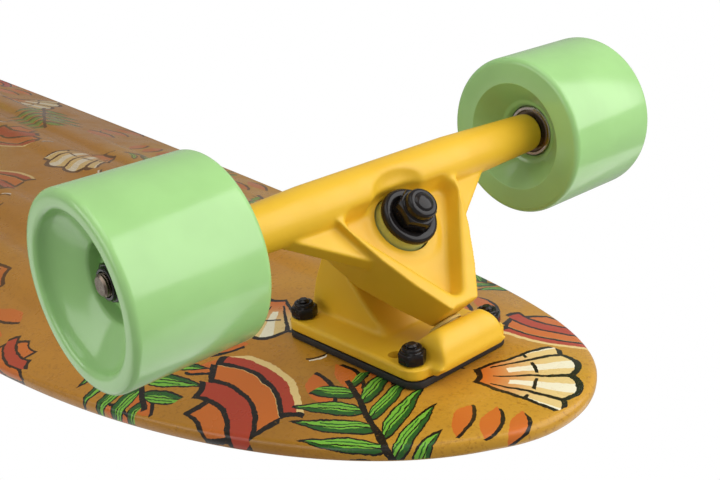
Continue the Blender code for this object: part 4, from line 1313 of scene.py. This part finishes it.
def at_foot(corner):
    """Whether a corner of the baseplate is on its lower face, low on the tower or on the pivot block."""
    x, y, above = corner.x, corner.y, corner.z - PLATE_BOTTOM
    foot = abs(x) < 0.0365 and abs(y) < 0.0215 and -0.0045 < above < 0.0010
    return foot or (x > 0.0290 and above < 0.0008)


def drill_holes(obj, low, high, steps):
    """Drills the four bolt holes and the two spare ones through a plate."""
    outer = BOLT_SPACING_X / 2
    for x in (-outer, outer, outer - SPARE_HOLE_STEP):
        for y in (-BOLT_SPACING_Y / 2, BOLT_SPACING_Y / 2):
            hole = rod("hole", BOLT_HOLE_RADIUS, low, high, steps)
            combine(obj, moved(hole, Matrix.Translation((x, y, 0))))


def plate_outline(steps=6):
    return rounded_rectangle(-PLATE_LENGTH / 2, PLATE_LENGTH / 2, PLATE_WIDTH / 2, PLATE_CORNER, steps)


class LONGBOARD_OT_baseplates(Operator):
    """Model the two cast baseplates"""

    bl_idname = "longboard.baseplates"
    bl_label = "Baseplates"

    def execute(self, context):
        sizes = context.scene.longboard_truck
        plate = prism("baseplate", plate_outline(), PLATE_BOTTOM, PLATE_TOP)
        combine(plate, kingpin_tower(), "UNION")
        combine(plate, pivot_block(), "UNION")
        soften(plate, sizes.cast_softness, 9)
        smooth_where(plate, at_foot, 34)
        cup, pin = CUP_RADIUS + GAP, KINGPIN_RADIUS + GAP
        combine(plate, moved(rod("bore", cup, -cup, 0.02), PIN_IN_PAD @ PIVOT_IN_PIN))
        to_kingpin = PIN_IN_PAD @ KINGPIN_IN_PIN
        combine(plate, moved(rod("hole", pin, HEAD_SEAT - 0.002, 0.03), to_kingpin))
        combine(plate, moved(rod("recess", RECESS_RADIUS, HEAD_SEAT - RECESS_DEPTH, HEAD_SEAT), to_kingpin))
        drill_holes(plate, PLATE_BOTTOM - 0.003, PLATE_TOP + 0.003, 40)
        wear(plate, "paint")
        shade(plate, 50)
        fit_both(plate, "baseplate", pad_frame)
        return {"FINISHED"}


class LONGBOARD_OT_risers(Operator):
    """Model the two rubber riser pads and the pivot cups"""

    bl_idname = "longboard.risers"
    bl_label = "Riser pads and pivot cups"

    def execute(self, context):
        riser = prism("riser", plate_outline(10), RISER_BOTTOM, RISER_TOP)
        bevel(riser, 0.0004, 2)
        drill_holes(riser, RISER_BOTTOM - 0.002, RISER_TOP + 0.002, 32)
        wear(riser, "rubber")
        shade(riser)
        fit_both(riser, "riser_pad", pad_frame)

        face, lip = BLOCK_FACE_TO_PIVOT + GAP, 0.0013
        flange = CUP_RADIUS + 0.0011
        inside = arc((0, 0), CUP_BORE, -pi / 2, 0, 8)
        outside = [
            (CUP_BORE, face + lip),
            (flange - 0.0004, face + lip),
            (flange, face + 0.0009),
            (flange, face),
            (CUP_RADIUS, face),
            (CUP_RADIUS, -CUP_RADIUS),
            (0, -CUP_RADIUS),
        ]
        cup = turned("cup", inside + outside, 48)
        wear(cup, "pivot")
        shade(cup)
        fit_both(cup, "pivot_cup", pivot_frame)
        return {"FINISHED"}


# Hardware


def thread(radius, start, end, pitch):
    """The section of a thread drawn as rings, from start to end."""
    depth = 0.55 * pitch
    points, turns = [], int(abs(end - start) / pitch)
    step = (end - start) / turns
    for turn in range(turns):
        place = start + turn * step
        points += [(radius - depth, place), (radius, place + 0.35 * step), (radius, place + 0.6 * step)]
    return points + [(radius - depth, end)]


def hexagon_outline(flats):
    corner = flats / sqrt(3)
    return [(corner * cos(k * pi / 3), corner * sin(k * pi / 3)) for k in range(6)]


def nut_collar(nut, bore, roll):
    """The rolled collar on a lock nut, with its nylon ring set a little below its top."""
    low, top = nut.hexagon - 0.0008, nut.hexagon + nut.collar
    foot, nylon = nut.collar_radius + 0.0003, top - 0.0007
    rolled = nut.collar_radius - roll
    section = [
        (bore, low),
        (foot, low),
        (foot, nut.hexagon + 0.0001),
        (nut.collar_radius, nut.hexagon + 0.0004),
        *arc((rolled, top - roll), roll, 0, pi / 2, 6),
        (rolled - 0.0006, top - 0.0001),
        (rolled - 0.0008, nylon),
        (bore, nylon),
    ]
    return turned("collar", section, 64)


def lock_nut(name, sizes, bore):
    """A chamfered hexagon with its collar and nylon ring, standing on its XY plane."""
    flat, corner, height = sizes.flats / 2, sizes.flats / sqrt(3), sizes.hexagon
    chamfer = (corner - flat) * 0.58
    section = [
        (bore, 0),
        (flat - 0.0002, 0),
        (corner, chamfer),
        (corner, height - chamfer),
        (flat - 0.0001, height),
        (bore, height),
    ]
    nut = turned(name, section, 96)
    combine(nut, prism("hexagon", hexagon_outline(sizes.flats), -0.001, height + 0.001), "INTERSECT")
    bevel(nut, 0.00018, 2, 25)
    roll = sizes.collar * 0.42
    combine(nut, nut_collar(sizes, bore, roll), "UNION")
    low, wide = height + 0.3 * sizes.collar, sizes.collar_radius - roll - 0.0007
    wear(nut, "black", "nylon")
    assign(nut, 1, lambda face: face_middle(face).z > low and hypot(*face_middle(face).xy) < wide)
    shade(nut, 32)
    return nut


def washer(name, inner, outer, low, thickness, look, rounding):
    high = low + thickness
    ring = turned(name, [(inner, high), (outer, high), (outer, low), (inner, low)], 72)
    bevel(ring, rounding, 2)
    wear(ring, look)
    shade(ring)
    return ring


def kingpin_with_head():
    """The kingpin in its own frame: hexagon head, shank and threaded end."""
    head_front = HEAD_SEAT - GAP
    head_back = head_front - KINGPIN_HEAD_HEIGHT
    tip, thread_end, root = KINGPIN_END - 0.0012, 0.0440, head_back + 0.001
    kingpin = prism("kingpin", hexagon_outline(KINGPIN_HEAD_FLATS), head_back, head_front)
    bevel(kingpin, 0.0006, 2)
    shank = [
        (0, KINGPIN_END),
        (0.0018, KINGPIN_END),
        (0.0030, KINGPIN_END - 0.00035),
        (0.00335, KINGPIN_END - 0.0005),
        (0.0040, tip),
        *thread(KINGPIN_RADIUS, tip - 0.0003, thread_end, 0.0013),
        (KINGPIN_RADIUS, thread_end - 0.0010),
        (KINGPIN_RADIUS, root),
        (0, root),
    ]
    combine(kingpin, turned("shank", shank, 48), "UNION")
    wear(kingpin, "black")
    shade(kingpin, 32)
    return kingpin


def cup_washer(bore):
    """The road-side washer, with a rounded shoulder and a skirt round the bushing."""
    edge, back, rim, front = WASHER_RADIUS - 0.0004, -0.0010, 0.0022, 0.0010
    section = [
        (bore, front),
        (edge - 0.0044, front),
        (edge - 0.0040, 0.0012),
        (edge - 0.0035, 0.0020),
        (edge - 0.0031, rim),
        (edge - 0.0020, rim),
        *arc((edge - 0.0020, rim - 0.0020), 0.0020, 4 * pi / 9, 0, 6),
        *arc((edge - 0.0006, back + 0.0006), 0.0006, 0, -pi / 2, 3),
        (bore, back),
    ]
    cup = turned("cup washer", [(r, UPPER_WASHER_BACK + height) for r, height in section], 96)
    wear(cup, "black")
    shade(cup, 40)
    return cup


def bushing_section(bore):
    """A barrel-topped cone, from its wide end down to its neck."""
    radius, height, neck = BUSHING_RADIUS, BUSHING_HEIGHT, BUSHING_NECK_RADIUS
    return [
        (bore, height),
        (radius - 0.0012, height),
        *arc((radius - 0.001, height - 0.001), 0.001, pi / 2, 0, 5),
        (radius, 0.0085),
        (radius - 0.0001, 0.0070),
        (radius - 0.0004, 0.0054),
        (neck + 0.0006, 0.0020),
        (neck + 0.0001, 0.0004),
        (neck - 0.0004, 0),
        (bore, 0),
    ]


def fit_bushings(name, back, flip):
    """A bushing on each kingpin, put in the place of its CAD node."""
    height = BUSHING_HEIGHT
    rings = [(r, back + (height - h if flip else h)) for r, h in bushing_section(KINGPIN_RADIUS + GAP)]
    bushing = turned(f"{name} bushing", rings, 80)
    wear(bushing, "bushing")
    shade(bushing, 40)
    for truck in TRUCKS:
        piece = copied(bushing, kingpin_frame(truck))
        node = f"{truck}_{name}_bushing"
        piece.name = piece.data.name = f"{node}_detail"
        ends = (back + height, back) if flip else (back, back + height)
        start, end = (kingpin_frame(truck) @ Vector((0, 0, depth)) for depth in ends)
        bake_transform(piece)
        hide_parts(node)
    bpy.data.objects.remove(bushing)


class LONGBOARD_OT_kingpins(Operator):
    """Model the kingpins with their nuts, washers and bushings"""

    bl_idname = "longboard.kingpins"
    bl_label = "Kingpins, bushings and washers"

    def execute(self, context):
        bore = KINGPIN_RADIUS + GAP
        fit_both(kingpin_with_head(), "kingpin", kingpin_frame)
        fit_both(lock_nut("kingpin nut", KINGPIN_NUT, bore), "kingpin_nut", nut_frame)
        plain = washer("washer", bore, WASHER_RADIUS, LOWER_WASHER_BACK, WASHER_THICKNESS, "black", 0.0004)
        fit_both(plain, "boardside_washer", kingpin_frame)
        fit_both(cup_washer(bore), "roadside_cup_washer", kingpin_frame)
        fit_bushings("boardside", LOWER_BUSHING_BACK, False)
        fit_bushings("roadside", UPPER_BUSHING_BACK, True)
        return {"FINISHED"}


def mounting_bolt(top):
    """A countersunk bolt with a cross slot. Its head's top is at that height in the pad frame."""
    edge = top - BOLT_HEAD_EDGE
    end = MOUNT_NUT_TOP - MOUNTING_NUT.hexagon - MOUNTING_NUT.collar - 0.0012
    section = [
        (0, top),
        (BOLT_HEAD_RADIUS - 0.0002, top),
        (BOLT_HEAD_RADIUS, top - 0.0002),
        (BOLT_HEAD_RADIUS, edge),
        (BOLT_RADIUS, edge - BOLT_HEAD_RADIUS + BOLT_RADIUS),
        *thread(BOLT_RADIUS, -0.0040, end + 0.0004, 0.0008),
        (BOLT_RADIUS - 0.0008, end),
        (0, end),
    ]
    bolt = turned("bolt", section, 32)
    wide, narrow, half_gap = 0.0021, 0.0009, 0.00045
    half = [(wide, top + 0.001), (wide, top - 0.0008), (narrow, top - 0.0024)]
    slot = [(-wide, top + 0.001), *half, *[(-x, z) for x, z in reversed(half[1:])]]
    for turn in (0, pi / 2):
        cutter = prism("slot", slot, -half_gap, half_gap, upright=True)
        combine(bolt, moved(cutter, Matrix.Rotation(turn, 4, "Z")))
    wear(bolt, "black")
    shade(bolt, 32)
    return bolt


class LONGBOARD_OT_bolts(Operator):
    """Model the countersunk mounting bolts and their lock nuts"""

    bl_idname = "longboard.bolts"
    bl_label = "Mounting bolts and nuts"

    def execute(self, context):
        bolt = mounting_bolt(context.scene.longboard_deck.thickness)
        places = [(f"{t}_mounting_bolt_{n}", "board", bolt_frame(t, n)) for t, n in BOLTS]
        fit_copies(bolt, places)
        nut = lock_nut("mounting nut", MOUNTING_NUT, BOLT_RADIUS + GAP)
        under = Matrix.Translation((0, 0, MOUNT_NUT_TOP)) @ Matrix.Rotation(pi, 4, "X")
        places = [(f"{t}_mounting_nut_{n}", "board", bolt_frame(t, n) @ under) for t, n in BOLTS]
        fit_copies(nut, places)
        return {"FINISHED"}


def threaded_axle():
    radius, thread_end = AXLE_RADIUS, 0.1100
    half = [
        (0, AXLE_END),
        (radius - 0.0009, AXLE_END),
        (radius - 0.0006, AXLE_END - 0.0002),
        *thread(radius, AXLE_END - 0.0003, thread_end, 0.0008),
        (radius, thread_end - 0.0005),
    ]
    axle = turned("axle", half + [(r, -place) for r, place in reversed(half)], 48)
    wear(axle, "axle")
    shade(axle, 32)
    return axle


def fit_speed_washers():
    """A thin washer on each side of each wheel's bearings. These have no CAD nodes."""
    ring = washer("speed washer", AXLE_RADIUS + 0.0001, 0.0064, 0, 0.001, "brass", 0.00015)
    ends = (("inner", BEARING_INNER_FACE - 0.00115), ("outer", OUTER_BEARING_FACE + 0.00015))
    for truck, side in WHEELS:
        for end, place in ends:
            piece = copied(ring, wheel_frame(truck, side) @ raised(place))
            piece.name = piece.data.name = f"{truck}_{side}_{end}_speed_washer"
            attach(piece, f"{truck}_hanger")
    bpy.data.objects.remove(ring)


class LONGBOARD_OT_axles(Operator):
    """Model the axles, their nuts and the speed washers"""

    bl_idname = "longboard.axles"
    bl_label = "Axles, nuts and speed washers"

    def execute(self, context):
        fit_both(threaded_axle(), "axle", axle_frame, "hanger")
        nut, seat = lock_nut("axle nut", AXLE_NUT, AXLE_RADIUS + GAP), raised(AXLE_NUT_BACK)
        places = [(f"{t}_{s}_axle_nut", f"{t}_hanger", wheel_frame(t, s) @ seat) for t, s in WHEELS]
        fit_copies(nut, places)
        fit_speed_washers()
        for truck, side in WHEELS:
            wear(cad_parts[f"{truck}_{side}_bearing_spacer"], "axle")
        return {"FINISHED"}


# Wheels


def outer_dish(outer):
    """The dish round the axle nut, from its floor up to the outer face."""
    return [
        (0.0138, outer - 0.0124),
        (0.0141, outer - 0.0116),
        (0.0148, outer - 0.0110),
        (0.0190, outer - 0.0086),
        (0.0236, outer - 0.0060),
        (0.0256, outer - 0.0044),
        (0.0266, outer - 0.0031),
        *arc((0.0294, outer - 0.0024), 0.0024, 11 * pi / 12, pi / 2, 6),
    ]


def inner_recess(inner):
    """The recess round the inner bearing, from the inner face down to the bearing."""
    return [
        *arc((0.0236, inner + 0.0005), 0.0005, -pi / 2, -3 * pi / 4, 3),
        (0.0190, inner + 0.0046),
        (0.0156, inner + 0.0078),
        (0.0145, inner + 0.0090),
        (0.0139, inner + 0.0095),
        (0.0130, inner + 0.0097),
        (0.0123, inner + 0.0101),
        (0.0118, inner + 0.0108),
    ]


def wheel_section(sizes):
    radius, lip = sizes.diameter / 2, sizes.lip_rounding
    outer, inner = WHEEL_MIDDLE + sizes.width / 2, WHEEL_MIDDLE - sizes.width / 2
    seat, core = BEARING_RADIUS + GAP, 0.0082
    core_inner, core_outer = BEARING_INNER_FACE + BEARING_WIDTH + GAP, OUTER_BEARING_BACK - GAP
    return [
        (seat, OUTER_BEARING_FACE),
        (0.0136, OUTER_BEARING_FACE),
        *outer_dish(outer),
        *arc((radius - lip, outer - lip), lip, pi / 2, 0, 8),
        *arc((radius - lip, inner + lip), lip, 0, -pi / 2, 8),
        *inner_recess(inner),
        (seat, BEARING_INNER_FACE + 0.0004),
        (seat, core_inner),
        (core, core_inner),
        (core, core_outer),
        (seat, core_outer),
    ]


class LONGBOARD_OT_wheels(Operator):
    """Model the four poured wheels"""

    bl_idname = "longboard.wheels"
    bl_label = "Wheels"

    def execute(self, context):
        wheel = turned("wheel", wheel_section(context.scene.longboard_wheel), 144)
        wear(wheel, "wheel")
        shade(wheel, 38)
        places = [(f"{t}_{s}_wheel", f"{t}_{s}_wheel", wheel_frame(t, s)) for t, s in WHEELS]
        fit_copies(wheel, places)
        return {"FINISHED"}


class LONGBOARD_OT_bearings(Operator):
    """Model the eight ball bearings with their recessed shields"""

    bl_idname = "longboard.bearings"
    bl_label = "Bearings"

    def execute(self, context):
        bore, shield_in, shield_out = AXLE_RADIUS + 0.00005, 0.0058, 0.0092
        face = [
            (bore, 0.0002),
            (bore + 0.0002, 0),
            (0.0056, 0),
            (shield_in, 0.0002),
            (shield_in, 0.0006),
            (0.0062, 0.00035),
            (0.0088, 0.00030),
            (shield_out, 0.0006),
            (0.0094, 0.0002),
            (0.0096, 0),
            (BEARING_RADIUS - 0.0004, 0),
            (BEARING_RADIUS, 0.0004),
        ]
        section = face + [(r, BEARING_WIDTH - height) for r, height in reversed(face)]
        bearing = turned("bearing", section, 72)
        wear(bearing, "race", "shield")
        assign(bearing, 1, lambda part: shield_in < hypot(*face_middle(part).xy) < shield_out)
        shade(bearing, 30)
        ends = (("inner", BEARING_INNER_FACE), ("outer", OUTER_BEARING_BACK))
        places = [
            (f"{t}_{s}_{end}_bearing", f"{t}_{s}_wheel", wheel_frame(t, s) @ raised(back))
            for t, s in WHEELS
            for end, back in ends
        ]
        fit_copies(bearing, places)
        return {"FINISHED"}


# Stage


CAMERA = Matrix(
    (
        (0.6703, -0.2800, 0.6873, 0.6391),
        (-0.7413, -0.2959, 0.6024, 0.2530),
        (0.0347, -0.9133, -0.4059, -0.1089),
        (0, 0, 0, 1),
    )
)
CAMERA_LENS = 51.83


def lamp(name, place, aim, width, height, brightness):
    """A soft rectangular white lamp whose face has that brightness."""
    light = bpy.data.lights.new(name, "AREA")
    light.shape = "RECTANGLE"
    light.size, light.size_y = width, height
    light.energy = brightness * pi * width * height
    obj = bpy.data.objects.new(name, light)
    bpy.context.scene.collection.objects.link(obj)
    obj.location = place
    obj.rotation_mode = "QUATERNION"
    obj.rotation_quaternion = (Vector(aim) - Vector(place)).to_track_quat("-Z", "Y")


def set_floor(sizes):
    """A floor that the camera sees through from below, and that fades out far from the board."""
    bpy.ops.object.select_all(action="DESELECT")
    bpy.ops.mesh.primitive_plane_add(size=30, location=(0, 0, BOARD_LOW.z - 0.0002))
    floor = bpy.context.object
    floor.name = "studio_floor"
    with editing(floor):
        bpy.ops.mesh.subdivide(number_cuts=8)
    look = Look("studio floor", sizes.floor, Roughness=0.9, Specular_IOR_Level=0.1, Emission_Strength=1)
    x, y, _ = look.split(look.at())
    far = look.length_of(x, y)
    tone = look.noise(look.at(), 3.0, 2.0)
    look.feed("Base Color", look.mix(tone, sizes.floor, tuple(c * 0.98 for c in sizes.floor)))
    look.feed("Emission Color", look.mix(tone, sizes.glow, tuple(c * 0.99 for c in sizes.glow)))
    rays = look.node("LightPath", {}, {}, "Is Camera Ray")
    back = look.node("NewGeometry", {}, {}, "Backfacing")
    clear = look.node("BsdfTransparent", {}, {})
    share_seen = look.between(far, 1.2, 7.0, 1, 0) * (rays & (1 - back))
    seen = look.node("MixShader", {}, {0: share_seen, 1: clear, 2: Wire(look, look.shader.outputs[0])})
    look.end_with(seen, "Material Output")
    floor.data.materials.append(look.material)


def set_background(scene, sizes):
    """White to the camera, less bright as a light, and in between in what shines."""
    world = bpy.data.worlds.new("studio")
    scene.world = world
    sky = Nodes(world)
    white = {"Color": (1, 1, 1, 1)}
    light = sky.node("Background", {}, {**white, "Strength": sizes.ambient})
    shown = sky.node("Background", {}, white)
    kinds = ("Camera", "Transmission", "Glossy")
    seen, through, glossy = (sky.node("LightPath", {}, {}, f"Is {kind} Ray") for kind in kinds)
    added = {0: glossy, 1: sizes.mirrored, 2: seen | through}
    part = sky.node("Math", {"operation": "MULTIPLY_ADD", "use_clamp": True}, added)
    sky.end_with(sky.node("MixShader", {}, {0: part, 1: light, 2: shown}), "World Output")


def set_camera(scene):
    camera = bpy.data.objects.new("camera", bpy.data.cameras.new("camera"))
    scene.collection.objects.link(camera)
    camera.matrix_world = CAMERA
    camera.data.lens = CAMERA_LENS
    camera.data.sensor_width = 36
    camera.data.clip_start = 0.01
    scene.camera = camera
    scene.view_settings.view_transform = "Standard"


def set_lamps(sizes):
    """Three soft lamps about the photographed truck and two over the whole board."""
    right, up, towards = (CAMERA.col[i].xyz for i in range(3))
    truck, board = Vector((0.37, 0.0, 0.07)), (0, 0, 0.05)
    side = truck + 1.05 * (0.80 * right + 0.50 * up + 0.45 * towards)
    high = truck + 1.0 * (-0.25 * right + 0.85 * up + 0.55 * towards)
    left = truck + 1.1 * (-0.9 * right + 0.12 * up + 0.5 * towards)
    lamp("softbox_side", side, truck, 1.3, 1.25, sizes.softbox)
    lamp("softbox_high", high, truck, 0.8, 0.6, 1.6)
    lamp("softbox_left", left, truck, 1.0, 0.5, 2.4)
    lamp("ceiling_key", (1.0, -1.1, 1.9), board, 2.0, 2.0, 1.2)
    lamp("ceiling_fill", (-1.3, 1.3, 1.7), board, 2.0, 2.0, 0.7)


class LONGBOARD_OT_stage(Operator):
    """Set up the floor, the background, the lamps and the camera"""

    bl_idname = "longboard.stage"
    bl_label = "Stage"

    def execute(self, context):
        scene, sizes = context.scene, context.scene.longboard_stage
        set_floor(sizes)
        set_background(scene, sizes)
        set_lamps(sizes)
        set_camera(scene)
        return {"FINISHED"}


# Panel and registration


class LONGBOARD_PT_pieces(Panel):
    bl_label = "Longboard"
    bl_idname = "LONGBOARD_PT_pieces"
    bl_space_type = "VIEW_3D"
    bl_region_type = "UI"
    bl_category = "Longboard"

    def draw(self, context):
        for operator in OPERATORS:
            self.layout.operator(operator.bl_idname)
        for name in SETTINGS:
            box = self.layout.box()
            group = getattr(context.scene, name)
            for prop in group.bl_rna.properties:
                if prop.identifier not in ("rna_type", "name"):
                    box.prop(group, prop.identifier)


SETTINGS = {
    "longboard_deck": DeckSettings,
    "longboard_truck": TruckSettings,
    "longboard_wheel": WheelSettings,
    "longboard_stage": StageSettings,
}
OPERATORS = (
    LONGBOARD_OT_deck,
    LONGBOARD_OT_hangers,
    LONGBOARD_OT_baseplates,
    LONGBOARD_OT_risers,
    LONGBOARD_OT_kingpins,
    LONGBOARD_OT_bolts,
    LONGBOARD_OT_axles,
    LONGBOARD_OT_wheels,
    LONGBOARD_OT_bearings,
    LONGBOARD_OT_stage,
)


def register():
    for group in (*SETTINGS.values(), *OPERATORS, LONGBOARD_PT_pieces):
        bpy.utils.register_class(group)
    for name, group in SETTINGS.items():
        setattr(bpy.types.Scene, name, PointerProperty(type=group))


def unregister():
    for name in SETTINGS:
        delattr(bpy.types.Scene, name)
    for group in (LONGBOARD_PT_pieces, *reversed(OPERATORS), *SETTINGS.values()):
        bpy.utils.unregister_class(group)


def main():
    register()
    for operator in OPERATORS:
        family, name = operator.bl_idname.split(".")
        getattr(getattr(bpy.ops, family), name)()


if __name__ == "__main__":
    main()
